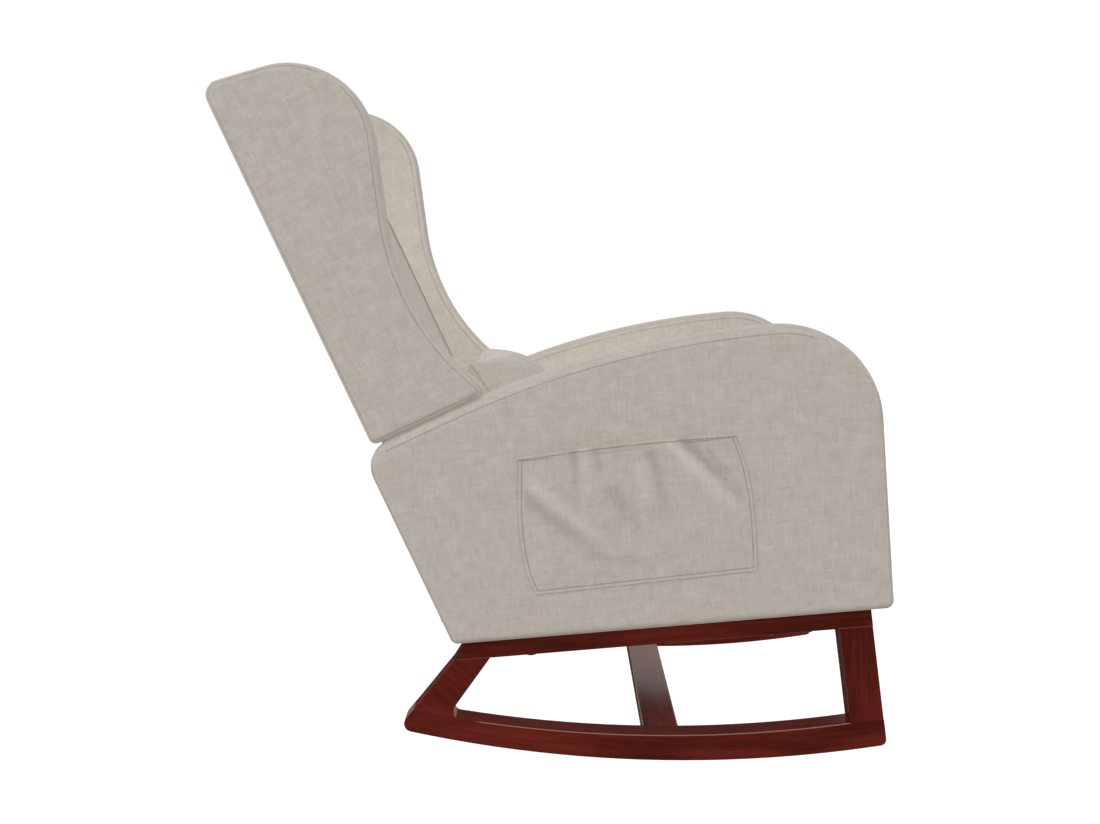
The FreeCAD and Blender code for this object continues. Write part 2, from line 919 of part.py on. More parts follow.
def arm_corners(inset):
    """The arm's side outline, or a line a given distance inside it.

    The front is nearly upright, the top runs level into one long curve that falls to the
    shelf under the wing, and the rear is parallel to the back.
    """
    top = f"(arm_height - {inset})"
    shelf = from_back(f"rear_step - {inset}", f"-unit_gap - {inset}")
    crown = f"({shelf[0]} - ({top} - {shelf[1]}) / tan(rake))"
    front = f"(-front_face + {inset})"
    nose = f"(arm_nose - {inset})"
    long_curve = f"(({crown} - {front} - {nose}) * arm_blend / tan(rake / 2))"
    foot = f"({seat_floor} + {inset})"
    return [
        (raked_at(f"rear_step - {inset}", foot), foot, f"max(foot_corner - {inset}, 2)"),
        (*shelf, f"rear_corner - {inset}"),
        (crown, top, long_curve),
        (front, top, nose),
        (f"-front_foot + {inset}", foot, f"max(foot_corner - {inset}, 2)"),
    ]


for hand in hands:
    sign = sides[hand]
    low, high = mirrored(sign, arm_inner, "half_width")
    arm = body(f"{hand}_arm_padding")
    pad(arm, arm_corners("0"), low, high)
    round_edges(arm, "arm_edge", at_x(sign * value("half_width"), sign * value(arm_inner)))
    clear_low, clear_high = mirrored(sign, f"{arm_inner} - overcut", panel_inner)
    behind = f"({board_front} - soft_gap)"
    above = f"({seat_frame_top} + soft_gap)"
    beyond = raked_at("rear_step + overcut", "arm_height")
    room = [
        (f"{frame_front} - soft_gap", f"{seat_floor} - overcut"),
        (beyond, f"{seat_floor} - overcut"),
        (beyond, "arm_height"),
        (raked_at(behind, "arm_height"), "arm_height"),
        (raked_at(behind, above), above),
        (f"{frame_front} - soft_gap", above),
    ]
    pocket(arm, room, clear_low, clear_high, "room")
    slot_low, slot_high = mirrored(
        sign, f"{panel_inner} - soft_gap", f"{panel_outer} + soft_gap"
    )
    pocket(arm, arm_corners("(frame_inset - soft_gap)"), slot_low, slot_high, "slot")
    node(sit(arm, "seat"), f"{hand}_arm_padding")

    low, high = mirrored(sign, panel_inner, panel_outer)
    node(
        board(f"{hand}_arm_panel", "seat", arm_corners("frame_inset"), low, high),
        f"{hand}_arm_panel",
    )

wrap_low = "(soft_gap - unit_gap - frame_inset)"
wrap_rear = f"({board_rear} + soft_gap)"
wrap_front = f"({board_front} - soft_gap)"
node(
    board(
        "seat_rear_cover", "seat",
        [
            (raked_at(wrap_rear, seat_floor), seat_floor),
            (raked_at("rear_step", seat_floor), seat_floor, "foot_corner / 2"),
            (*from_back("rear_step", "-unit_gap"), "rear_corner"),
            from_back(wrap_front, "-unit_gap"),
            from_back(wrap_front, wrap_low),
            from_back(wrap_rear, wrap_low),
        ],
        f"-{panel_inner} + soft_gap", f"{panel_inner} - soft_gap",
    ),
    "seat_rear_cover",
)

apron_top = f"({cushion_low} - 2)"
apron = board(
    "front_apron", "seat",
    [
        ("-front_foot", seat_floor),
        (f"{frame_front} - soft_gap", seat_floor),
        (f"{frame_front} - soft_gap", apron_top),
        ("-front_foot", apron_top),
    ],
    f"-{arm_inner} + soft_gap", f"{arm_inner} - soft_gap",
)
round_edges(
    apron, "cover_round",
    lambda edge, ends: all(abs(p.y + value("front_foot")) < 0.01
                           and abs(p.z - value(apron_top)) < 0.01 for p in ends),
)
node(apron, "front_apron")


# Seat cushion: box sections along X, with bulged sides and a crowned top


def box_section(x, front, rear, bottom, top_front, top_rear, bulge, crown):
    """A cushion section at one X: a flat bottom, bulged ends and a crowned, sloping top."""
    low_front = FreeCAD.Vector(x, front, bottom)
    low_rear = FreeCAD.Vector(x, rear, bottom)
    high_rear = FreeCAD.Vector(x, rear, top_rear)
    high_front = FreeCAD.Vector(x, front, top_front)
    middle_rear = FreeCAD.Vector(x, rear + bulge, (bottom + top_rear) / 2)
    middle_front = FreeCAD.Vector(x, front - bulge, (bottom + top_front) / 2)
    middle_top = FreeCAD.Vector(x, (front + rear) / 2, (top_front + top_rear) / 2 + crown)
    return Part.Wire([
        Part.LineSegment(low_front, low_rear).toShape(),
        Part.Arc(low_rear, middle_rear, high_rear).toShape(),
        Part.Arc(high_rear, middle_top, high_front).toShape(),
        Part.Arc(high_front, middle_front, low_front).toShape(),
    ])


stations = [-1, -0.93, -0.55, 0, 0.55, 0.93, 1]


def cushion_shape():
    """Loft the sections: full in the middle, drawn in towards the two side borders."""
    half = value(half_cushion)
    front = -value("cushion_nose") + value("cushion_bulge")
    rear = -value("cushion_nose") + value("cushion_depth") - value("cushion_bulge")
    bottom = value(cushion_low)
    wires = []
    for share in stations:
        drawn = value("cushion_draw") * share ** 12
        lifted = value("cushion_crown") * (1 - share ** 2)
        wires.append(box_section(
            share * half, front + drawn, rear - drawn, bottom,
            bottom + value("cushion_front") - drawn, bottom + value("cushion_rear") - drawn,
            value("cushion_bulge") * (1 - 0.8 * share ** 12), 2 + lifted,
        ))
    return Part.makeLoft(wires, True)


cushion = doc.addObject("Part::Feature", "seat_cushion_form")
cushion.Shape = cushion_shape()
node(sit(cushion, "seat"), "seat_cushion")


# Back unit

top_slope = "tan(wing_top_slope)"


def back_top(t, inset="0"):
    """Height of the back's sloping top line at a depth behind (t is negative forwards)."""
    return f"(back_height - ({inset}) / cos(wing_top_slope) + ({t}) * {top_slope})"


for hand in hands:
    low, high = mirrored(
        sides[hand], "(back_post_center - back_post_width / 2)",
        "(back_post_center + back_post_width / 2)",
    )
    node(
        block(
            f"{hand}_back_post", "back", (post_front, post_rear),
            ("-back_post_tail", back_top(post_front, "frame_inset")), low, high,
        ),
        f"{hand}_back_post",
    )

rail_ranges = {
    "back_bottom_rail": ("frame_inset", "frame_inset + back_rail_height"),
    "back_middle_rail": (
        "(back_height - back_rail_height) / 2", "(back_height + back_rail_height) / 2",
    ),
    "back_top_rail": (
        f"{back_top(post_rear, 'frame_inset')} - back_rail_height",
        back_top(post_rear, "frame_inset"),
    ),
}
for label, heights in rail_ranges.items():
    node(
        block(
            label, "back", (post_rear, cover_front), heights,
            f"-{wing_panel_inner}", wing_panel_inner,
        ),
        label,
    )

straps = []
for number in range(4):
    middle = f"(frame_inset + back_rail_height + {number} * back_height / 5)"
    straps.append(
        block(
            f"strap_{number}", "floor",
            (f"{post_front} - webbing_thickness", post_front),
            (f"{middle} - webbing_width / 2", f"{middle} + webbing_width / 2"),
            "-back_post_center - back_post_width / 2", "back_post_center + back_post_width / 2",
        )
    )
group = doc.addObject("Part::Compound", "webbing_group")
group.Links = straps
node(sit(group, "back"), "back_webbing")

back_cover = board(
    "back_outer_cover", "back",
    [
        (cover_front, "0"),
        ("0", "0"),
        ("0", back_top("0")),
        (cover_front, back_top(cover_front)),
    ],
    f"-{wing_panel_inner} + soft_gap", f"{wing_panel_inner} - soft_gap",
)
round_edges(
    back_cover, "cover_round",
    lambda edge, ends: all(abs(p.y) < 0.01 for p in ends) and abs(ends[0].x - ends[1].x) > 1,
)
node(back_cover, "back_outer_cover")

pad_skin = "(frame_inset - 2)"
back_pad = body("backrest_pad")
pad(
    back_pad,
    [
        (pad_front, "-back_tail"),
        (pad_rear, "-back_tail"),
        (pad_rear, back_top(pad_rear, pad_skin)),
        (f"{cover_front} - soft_gap", back_top(cover_front, pad_skin)),
        (f"{cover_front} - soft_gap", back_top(cover_front)),
        (pad_front, back_top(pad_front), "frame_inset * 1.5"),
    ],
    f"-{wing_panel_inner} + soft_gap", f"{wing_panel_inner} - soft_gap",
)
for hand in hands:
    low, high = mirrored(sides[hand], f"{arm_inner} - tail_clearance", "half_width")
    pocket(
        back_pad,
        [
            (f"{pad_front} - overcut", "-back_tail - overcut"),
            ("overcut", "-back_tail - overcut"),
            ("overcut", "0"),
            (f"{pad_front} - overcut", "0"),
        ],
        low, high, f"{hand}_notch",
    )
node(sit(back_pad, "back"), "backrest_pad")


# Brackets that hold the back unit: a plate with two folded lips on the seat's rear board,
# and a tongue on each back post that slides down behind the lips

bracket_high = "(-bracket_top)"
bracket_low = "(-bracket_top - bracket_height)"
tongue_rear = f"({board_front} - bracket_plate - 1)"
receiver_parts, tongue_parts = [], []
for hand in hands:
    sign = sides[hand]
    middle = f"({sign} * back_post_center)"
    plate = block(
        f"{hand}_receiver_plate", "floor", (f"{board_front} - bracket_plate", board_front),
        (bracket_low, bracket_high),
        f"{middle} - bracket_width / 2", f"{middle} + bracket_width / 2",
    )
    lips = []
    for side in (-1, 1):
        wall_low, wall_high = (
            (f"{middle} - bracket_width / 2", f"{middle} - bracket_width / 2 + bracket_plate")
            if side < 0 else
            (f"{middle} + bracket_width / 2 - bracket_plate", f"{middle} + bracket_width / 2")
        )
        lips.append(block(
            f"{hand}_receiver_wall_{side + 1}", "floor",
            (f"{board_front} - bracket_plate * 2 - 2", f"{board_front} - bracket_plate"),
            (bracket_low, bracket_high), wall_low, wall_high,
        ))
    receiver_parts.append(fused(f"{hand}_receiver", [plate, *lips]))
    tongue = block(
        f"{hand}_tongue_plate", "floor", (f"{tongue_rear} - bracket_plate", tongue_rear),
        (f"{bracket_low} + tongue_end", f"{bracket_high} + tongue_grip"),
        f"{middle} - tongue_width / 2", f"{middle} + tongue_width / 2",
    )
    spacer = block(
        f"{hand}_tongue_pad", "floor", (post_rear, f"{tongue_rear} - bracket_plate"),
        (bracket_high, f"{bracket_high} + tongue_grip"),
        f"{middle} - tongue_width / 2", f"{middle} + tongue_width / 2",
    )
    tongue_parts.append(fused(f"{hand}_tongue", [tongue, spacer]))
for label, members in (("back_receivers", receiver_parts), ("back_tongues", tongue_parts)):
    group = doc.addObject("Part::Compound", label + "_group")
    group.Links = members
    node(sit(group, "back"), label)


# Wings


def wing_corners(inset):
    """The wing's side outline in the back frame, or a line a given distance inside it.

    The rear is straight, the foot is square to it, the front is drawn in to a waist and
    swings out again to a round nose, and the top falls gently forwards.
    """
    foot_line, head_line = "cos(wing_foot_flare)", "cos(wing_head_flare)"
    foot_flare, head_flare = "tan(wing_foot_flare)", "tan(wing_head_flare)"
    lift = f"(({inset}) * (1 / {head_line} - 1 / {foot_line}) / ({foot_flare} + {head_flare}))"
    waist = f"(wing_waist - ({inset}) / {head_line} + {lift} * {head_flare})"
    waist_height = f"(wing_waist_height + {lift})"
    ceiling = f"(back_height - ({inset}) / cos(wing_top_slope))"
    nose = (
        f"(({waist} + ({ceiling} - {waist_height}) * {head_flare})"
        f" / (1 + {top_slope} * {head_flare}))"
    )
    return [
        (f"-({inset})", inset, f"max(wing_corner - {inset}, 2)"),
        (f"-({inset})", back_top(f"-({inset})", inset), f"wing_top_corner - {inset}"),
        (f"-{nose}", back_top(f"-{nose}", inset), f"wing_nose - {inset}"),
        (f"-{waist}", waist_height, f"wing_waist_round + {inset}"),
        (
            f"-({waist} + ({waist_height} - {inset}) * {foot_flare})", inset,
            f"max(wing_corner - {inset}, 2)",
        ),
    ]


for hand in hands:
    sign = sides[hand]
    low, high = mirrored(sign, wing_inner, wing_outer)
    wing = body(f"{hand}_wing_padding")
    pad(wing, wing_corners("0"), low, high)
    round_edges(wing, "wing_edge", at_x(sign * value(wing_outer)))
    room_low, room_high = mirrored(sign, f"{wing_inner} - overcut", f"{wing_panel_inner}")
    pocket(
        wing,
        [
            (f"{pad_front} - soft_gap", "-overcut"),
            ("overcut", "-overcut"),
            ("overcut", "back_height + overcut"),
            (f"{pad_front} - soft_gap", "back_height + overcut"),
        ],
        room_low, room_high, "room",
    )
    slot_low, slot_high = mirrored(
        sign, f"{wing_panel_inner} - soft_gap", f"{wing_panel_outer} + soft_gap"
    )
    pocket(wing, wing_corners("(frame_inset - soft_gap)"), slot_low, slot_high, "slot")
    node(sit(wing, "back"), f"{hand}_wing_padding")

    low, high = mirrored(sign, wing_panel_inner, wing_panel_outer)
    node(
        board(f"{hand}_wing_panel", "back", wing_corners("frame_inset"), low, high),
        f"{hand}_wing_panel",
    )


# Side pockets: a loose cloth face sewn to the arm on three sides and open at the top


def pocket_form(sign, inset, near, far, above):
    """A slab with sloping sides, standing off the arm's outer face from near to far along X."""
    wires = []
    for away, shrink in ((near, inset), (far, f"({inset} + pocket_slope)")):
        corners = [
            (f"pocket_front + {shrink}", f"pocket_low + pocket_rise + {shrink}"),
            (f"pocket_rear - {shrink}", f"pocket_low + {shrink}"),
            (f"pocket_rear + pocket_flare - {shrink}", f"pocket_high + {above}"),
            (f"pocket_front + pocket_flare + {shrink}", f"pocket_high + pocket_rise + {above}"),
        ]
        points = [
            FreeCAD.Vector(sign * value(away), value(depth), value(height))
            for depth, height in corners
        ]
        wires.append(Part.makePolygon(points + points[:1]))
    return Part.makeLoft(wires, True, True)


for hand in hands:
    sign = sides[hand]
    outer = pocket_form(sign, "0", "half_width", "(half_width + pocket_swell)", "0")
    inner = pocket_form(
        sign, "pocket_cloth / 2", "(half_width - pocket_cloth)",
        "(half_width + pocket_swell - pocket_cloth)", "pocket_swell",
    )
    cloth = doc.addObject("Part::Feature", f"{hand}_pocket_form")
    cloth.Shape = outer.cut(inner)
    node(sit(cloth, "seat"), f"{hand}_side_pocket")


# Lumbar pillow: two bulged faces sewn together round their edge


def pillow_shape():
    """Loft pairs of arcs along X, fullest in the middle and thin at the two ends."""
    half_wide = value("pillow_width") / 2
    wires = []
    for share in stations:
        x = share * half_wide
        tall = value("pillow_height") / 2 - value("pillow_draw") * (1 - share ** 2) / 2
        full = (value("pillow_thickness") / 2 - value("pillow_edge") / 2) * (1 - share ** 2) ** 0.5
        thick = value("pillow_edge") / 2 + full
        top = FreeCAD.Vector(x, 0, tall)
        bottom = FreeCAD.Vector(x, 0, -tall)
        wires.append(Part.Wire([
            Part.Arc(top, FreeCAD.Vector(x, thick, 0), bottom).toShape(),
            Part.Arc(bottom, FreeCAD.Vector(x, -thick, 0), top).toShape(),
        ]))
    return Part.makeLoft(wires, True)


pillow = doc.addObject("Part::Feature", "lumbar_pillow_form")
pillow.Shape = pillow_shape()
node(sit(pillow, "pillow"), "lumbar_pillow")


# Check every object and every sub-part, then write the sub-parts

doc.recompute()
failed = [o.Name for o in doc.Objects if "Invalid" in o.State or "Error" in o.State]
if failed:
    raise RuntimeError(f"objects failed: {failed}")
for piece in nodes:
    if piece.Shape.isNull() or not piece.Shape.isValid():
        raise RuntimeError(f"{piece.Label} has no valid shape")
os.makedirs("parts", exist_ok=True)
for piece in nodes:
    piece.Shape.exportStep(f"parts/{piece.Label}.step")
box = FreeCAD.BoundBox()
for piece in nodes:
    box.add(piece.Shape.BoundBox)
print(f"{len(nodes)} sub-parts, {box.XLength:.1f} x {box.YLength:.1f} x {box.ZLength:.1f} mm")
print(f"front {box.YMin:.1f}, rear {box.YMax:.1f}, floor {box.ZMin:.2f}, top {box.ZMax:.1f}")
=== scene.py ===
"""A high wing rocking chair in linen on mahogany rockers, drawn over its CAD frame.

Lengths are in metres, X is the chair's width, -Y its front and Z is up. Upholstery is worked
out in the two leaning frames of the chair, the seat's and the back's, as whole numpy arrays.
"""

import math

import bmesh
import bpy
import numpy as np
from mathutils import Matrix


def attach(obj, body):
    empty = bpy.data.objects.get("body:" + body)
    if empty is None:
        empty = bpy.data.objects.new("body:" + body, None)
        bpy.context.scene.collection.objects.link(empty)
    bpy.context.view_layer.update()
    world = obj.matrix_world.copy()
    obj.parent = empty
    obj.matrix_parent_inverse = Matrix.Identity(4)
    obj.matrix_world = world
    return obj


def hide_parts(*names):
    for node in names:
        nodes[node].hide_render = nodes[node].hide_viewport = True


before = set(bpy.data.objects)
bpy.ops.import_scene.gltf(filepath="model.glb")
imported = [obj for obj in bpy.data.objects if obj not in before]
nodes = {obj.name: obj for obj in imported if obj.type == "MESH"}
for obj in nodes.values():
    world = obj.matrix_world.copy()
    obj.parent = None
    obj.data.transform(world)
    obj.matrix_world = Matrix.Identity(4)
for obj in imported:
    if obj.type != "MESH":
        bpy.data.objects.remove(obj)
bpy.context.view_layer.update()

# Sizes of the chair

LEAN = 4.9
RAKE = 20.0
PILLOW_TILT = 30.0
PILLOW_DEPTH, PILLOW_HEIGHT = 0.3673, 0.5066
CONTACT_Y = -0.184
ROCKER_RADIUS = 1.840
SOFT_GAP = 0.0003
OVERCUT = 0.05

HALF_WIDTH = 0.360
ARM_INNER = 0.260
PANEL_OUTER = 0.342
PANEL_INNER = 0.327
SEAT_FLOOR = 0.204
FRAME_TOP = 0.284
FRAME_INSET = 0.014
FRAME_FRONT = -0.1471
FRONT_FACE = 0.1646
FRONT_FOOT = 0.1611
ARM_HEIGHT = 0.617
ARM_NOSE = 0.140
ARM_BLEND = 0.98
REAR_STEP = 0.016
REAR_CORNER = 0.038
FOOT_CORNER = 0.012
BOARD_THICKNESS = 0.018
CUSHION_LOW = 0.2985

FOOT_DEPTH = 0.5565
FOOT_HEIGHT = 0.4962
UNIT_GAP = 0.003
BACK_HEIGHT = 0.553
BACK_COVER = 0.012
BACK_TAIL = 0.140
PAD_FRONT = -0.1005
PAD_REAR = -0.0575
WING_OUTER = 0.355
WING_INNER = 0.283
WING_PANEL_OUTER = 0.337
WING_PANEL_INNER = 0.322
WING_WAIST = 0.1105
WING_WAIST_HEIGHT = 0.148
WING_FOOT_FLARE = 25.3
WING_HEAD_FLARE = 17.5
WING_WAIST_ROUND = 0.350
WING_TOP_SLOPE = 9.0
WING_NOSE = 0.117
WING_CORNER = 0.011
WING_TOP_CORNER = 0.022

# The arm stands fuller than its CAD solid at the rear. Rounds are (outer, inner) edges, seams lie
# that far inside an upright edge, a top edge and the inner face's edge.
ARM_REAR_FULL = 0.0016
ARM_ROUNDS = (0.014, 0.010)
WING_ROUNDS = (0.012, 0.010)
ARM_SEAMS = (0.0035, 0.0105, 0.009)
WING_SEAMS = (0.0055, 0.0055, 0.008)
FACE_CROWN, CROWN_FALL = 0.002, (-0.02, 0.09)
BORDER_SWELL = 0.0014


def sine(degrees):
    return math.sin(math.radians(degrees))


def cosine(degrees):
    return math.cos(math.radians(degrees))


def tangent(degrees):
    return math.tan(math.radians(degrees))


class Leaning:
    """A frame turned about X by an angle: (x, depth, height) goes to (x, y, z) and back."""

    def __init__(self, angle, y, z):
        self.c, self.s, self.y, self.z = cosine(angle), sine(angle), y, z

    def out(self, p):
        """y = y0 + depth cos + height sin, z = z0 - depth sin + height cos."""
        x, depth, height = p[..., 0], p[..., 1], p[..., 2]
        y = self.y + depth * self.c + height * self.s
        z = self.z - depth * self.s + height * self.c
        return np.stack([x, y, z], -1)

    def back(self, p):
        """The same turn undone."""
        x, y, z = p[..., 0], p[..., 1] - self.y, p[..., 2] - self.z
        return np.stack([x, y * self.c - z * self.s, y * self.s + z * self.c], -1)


SEAT = Leaning(
    LEAN,
    CONTACT_Y - ROCKER_RADIUS * sine(LEAN),
    ROCKER_RADIUS * (1 - cosine(LEAN)),
)


def leaning_from_seat(angle, depth, height):
    """A frame that leans by an angle more than the seat's, from a place in the seat's."""
    origin = SEAT.out(np.array([0.0, depth, height]))
    return Leaning(LEAN + angle, origin[1], origin[2])


BACK = leaning_from_seat(RAKE, FOOT_DEPTH, FOOT_HEIGHT)
PILLOW = leaning_from_seat(PILLOW_TILT, PILLOW_DEPTH, PILLOW_HEIGHT)


def from_back(t, s):
    """A (t, s) of the back's frame as a (depth, height) of the seat's."""
    return (
        FOOT_DEPTH + t * cosine(RAKE) + s * sine(RAKE),
        FOOT_HEIGHT - t * sine(RAKE) + s * cosine(RAKE),
    )


def raked_at(t, height):
    """The depth at a height of the line that lies t behind the back's rear."""
    depth, level = from_back(t, 0)
    return depth - (level - height) * tangent(RAKE)


# Outlines


def arc_at(before, corner, after, radius, turns=14):
    """Points of the circular arc of a radius that is tangent to both sides of a corner."""
    before, corner, after = (np.array(p[:2], float) for p in (before, corner, after))
    if not radius:
        return corner[None]
    into = (before - corner) / np.linalg.norm(before - corner)
    out = (after - corner) / np.linalg.norm(after - corner)
    half = math.acos(np.clip(into @ out, -1, 1)) / 2
    middle = (into + out) / np.linalg.norm(into + out)
    center = corner + middle * radius / math.sin(half)
    start = corner + into * radius / math.tan(half) - center
    end = corner + out * radius / math.tan(half) - center
    first = math.atan2(start[1], start[0])
    sweep = math.atan2(start[0] * end[1] - start[1] * end[0], start @ end)
    a = first + sweep * np.linspace(0, 1, 2 * turns + 1)
    return center + radius * np.stack([np.cos(a), np.sin(a)], -1)


def outline_sides(corners, breaks):
    """Cut a rounded outline into sides, each from the middle of one chosen corner's arc to the
    middle of the next chosen one's. A corner is (depth, height, radius)."""
    count = len(corners)
    arcs = [
        arc_at(corners[i - 1], corners[i], corners[(i + 1) % count], corners[i][2])
        for i in range(count)
    ]
    sides = []
    for start, stop in zip(breaks, breaks[1:] + breaks[:1]):
        span = (stop - start) % count
        points = [arcs[start][len(arcs[start]) // 2:]]
        points += [arcs[(start + k) % count] for k in range(1, span)]
        points += [arcs[stop][: len(arcs[stop]) // 2 + 1]]
        sides.append(np.concatenate(points))
    return sides


def closed_outline(corners):
    """A whole rounded outline as one closed line of points."""
    sides = outline_sides(corners, list(range(len(corners))))
    return np.concatenate([side[:-1] for side in sides])


def length_of(line):
    """A line's length."""
    return np.linalg.norm(np.diff(line, axis=0), axis=1).sum()


def along(line, shares):
    """Points at shares of a line's length."""
    run = np.concatenate([[0], np.cumsum(np.linalg.norm(np.diff(line, axis=0), axis=1))])
    return np.stack([np.interp(shares * run[-1], run, line[:, k]) for k in range(2)], -1)


def evened(line, step):
    """A closed line with its long sides divided into steps, its corners kept."""
    following = np.roll(line, -1, 0)
    counts = np.maximum(1, np.ceil(np.linalg.norm(following - line, axis=1) / step)).astype(int)
    start = np.repeat(line, counts, 0)
    way = np.repeat(following - line, counts, 0)
    number = np.arange(counts.sum()) - np.repeat(np.cumsum(counts) - counts, counts)
    return start + way * (number / np.repeat(counts, counts))[:, None]


def nearest_edge(points, loop):
    """Each point's distance to a closed line, how far along the line its nearest point is, and
    the number of the line's run that holds that point."""
    a, way = loop, np.roll(loop, -1, 0) - loop
    square = (way ** 2).sum(1)
    run = np.concatenate([[0], np.cumsum(np.sqrt(square))])[:-1]
    distance, place = np.empty(len(points)), np.empty(len(points))
    number = np.empty(len(points), int)
    for rows in np.array_split(np.arange(len(points)), max(1, len(points) // 4000)):
        p = points[rows][:, None] - a[None]
        t = np.clip((p * way).sum(2) / square, 0, 1)
        gap = np.linalg.norm(p - t[..., None] * way, axis=2)
        best = gap.argmin(1)
        pick = (np.arange(len(rows)), best)
        distance[rows] = gap[pick]
        place[rows] = run[best] + t[pick] * np.sqrt(square[best])
        number[rows] = best
    return distance, place, number


def facing_up(loop):
    """How far each run of a closed line faces up, from -1 to 1. The line turns to the left."""
    way = np.roll(loop, -1, 0) - loop
    return -way[:, 0] / np.linalg.norm(way, axis=1)


def away_from(loop):
    """The outward direction at each point of a closed line, whichever way it turns."""
    following = np.roll(loop, -1, 0)
    way = following - np.roll(loop, 1, 0)
    way /= np.linalg.norm(way, axis=1)[:, None]
    turn = np.sign((loop[:, 0] * following[:, 1] - loop[:, 1] * following[:, 0]).sum())
    return np.stack([way[:, 1], -way[:, 0]], -1) * turn


def smooth(x, low, high):
    """0 below low, 1 above high, and a smooth S between."""
    t = np.clip((x - low) / (high - low), 0, 1)
    return t * t * (3 - 2 * t)


def quarter_round(d, radius):
    """How far a rounded edge falls away at a distance d from its side."""
    fall = radius - np.sqrt(np.maximum(0, radius ** 2 - (radius - d) ** 2))
    return np.where(d < radius, fall, 0)


def arm_corners(inset, full=0.0):
    """The arm's side outline: upright front, round nose, one long curve down to the shelf under
    the wing, and a rear parallel to the back that stands full by a little."""
    top = ARM_HEIGHT - inset
    rear = REAR_STEP + full - inset
    shelf = from_back(rear, -UNIT_GAP - inset)
    crown = shelf[0] - (top - shelf[1]) / tangent(RAKE)
    front = -FRONT_FACE + inset
    nose = ARM_NOSE - inset
    long_curve = (crown - front - nose) * ARM_BLEND / tangent(RAKE / 2)
    foot = SEAT_FLOOR + inset
    return [
        (raked_at(rear, foot), foot, max(FOOT_CORNER - inset, 0.002)),
        (*shelf, REAR_CORNER - inset),
        (crown, top, long_curve),
        (front, top, nose),
        (-FRONT_FOOT + inset, foot, max(FOOT_CORNER - inset, 0.002)),
    ]


def back_top(t, inset=0.0):
    """Height of the back's top line at a place t behind its rear."""
    return BACK_HEIGHT - inset / cosine(WING_TOP_SLOPE) + t * tangent(WING_TOP_SLOPE)


def wing_corners(inset):
    """The wing's side outline: straight rear and foot, drawn-in waist, round nose."""
    foot, head = tangent(WING_FOOT_FLARE), tangent(WING_HEAD_FLARE)
    lift = inset * (1 / cosine(WING_HEAD_FLARE) - 1 / cosine(WING_FOOT_FLARE)) / (foot + head)
    waist = WING_WAIST - inset / cosine(WING_HEAD_FLARE) + lift * head
    waist_height = WING_WAIST_HEIGHT + lift
    ceiling = BACK_HEIGHT - inset / cosine(WING_TOP_SLOPE)
    nose = (waist + (ceiling - waist_height) * head) / (1 + tangent(WING_TOP_SLOPE) * head)
    return [
        (-inset, inset, max(WING_CORNER - inset, 0.002)),
        (-inset, back_top(-inset, inset), WING_TOP_CORNER - inset),
        (-nose, back_top(-nose, inset), WING_NOSE - inset),
        (-waist, waist_height, WING_WAIST_ROUND + inset),
        (-(waist + (waist_height - inset) * foot), inset, max(WING_CORNER - inset, 0.002)),
    ]


# Meshes


def grid_faces(rows, columns, first=0, wrapped=False):
    """The quads of a grid whose points run column by column. A wrapped grid closes on itself."""
    i = np.arange(rows - 1)[:, None] * columns
    j = np.arange(columns if wrapped else columns - 1)[None]
    k = (j + 1) % columns
    return first + np.stack([i + j, i + columns + j, i + columns + k, i + k], -1).reshape(-1, 4)


def turn_faces_out(mesh):
    """Merge a mesh's doubles and turn its faces outwards."""
    work = bmesh.new()
    work.from_mesh(mesh)
    bmesh.ops.remove_doubles(work, verts=work.verts, dist=1e-6)
    bmesh.ops.recalc_face_normals(work, faces=work.faces)
    work.to_mesh(mesh)
    work.free()


def make(name, points, faces, closed=True):
    """A mesh object from arrays of points and faces, its faces turned outwards."""
    mesh = bpy.data.meshes.new(name)
    polygons = [list(map(int, f)) for f in faces]
    mesh.from_pydata(points.tolist(), [], polygons)
    if closed:
        turn_faces_out(mesh)
    mesh.shade_smooth()
    piece = bpy.data.objects.new(name, mesh)
    bpy.context.scene.collection.objects.link(piece)
    return piece


def skinned(name, leaning, rings):
    """A closed skin over an array of rings, one after the other, with a flat end at each end."""
    rows, count = rings.shape[:2]
    ends = [np.arange(count), np.arange(count) + (rows - 1) * count]
    faces = [*grid_faces(rows, count, wrapped=True), *ends]
    return make(name, leaning.out(rings.reshape(-1, 3)), faces)


def points_of(piece):
    """A piece's points as one array."""
    flat = np.empty(len(piece.data.vertices) * 3)
    piece.data.vertices.foreach_get("co", flat)
    return flat.reshape(-1, 3)


def set_points(piece, points):
    """Move a piece's points to the rows of an array."""
    piece.data.vertices.foreach_set("co", points.ravel())
    piece.data.update()


def settle(piece):
    """Apply a piece's modifiers to its mesh."""
    bpy.context.view_layer.update()
    seen = piece.evaluated_get(bpy.context.evaluated_depsgraph_get())
    mesh = bpy.data.meshes.new_from_object(seen)
    piece.modifiers.clear()
    old, piece.data = piece.data, mesh
    bpy.data.meshes.remove(old)
    return piece


def cut_out(piece, tools):
    """Cut closed tool pieces out of a piece and drop them."""
    for tool in tools:
        cut = piece.modifiers.new("room", "BOOLEAN")
        cut.operation, cut.solver, cut.object = "DIFFERENCE", "EXACT", tool
    settle(piece)
    for tool in tools:
        bpy.data.objects.remove(tool)
    return piece


def prism(name, leaning, loop, low, high):
    """A straight slab: a closed outline between two places along X."""
    count = len(loop)
    ends = [np.column_stack([np.full(count, x), loop]) for x in (low, high)]
    ring = np.arange(count)
    sides = np.stack([ring, (ring + 1) % count, (ring + 1) % count + count, ring + count], -1)
    faces = [*sides, ring[::-1], ring + count]
    return make(name, leaning.out(np.concatenate(ends)), faces)


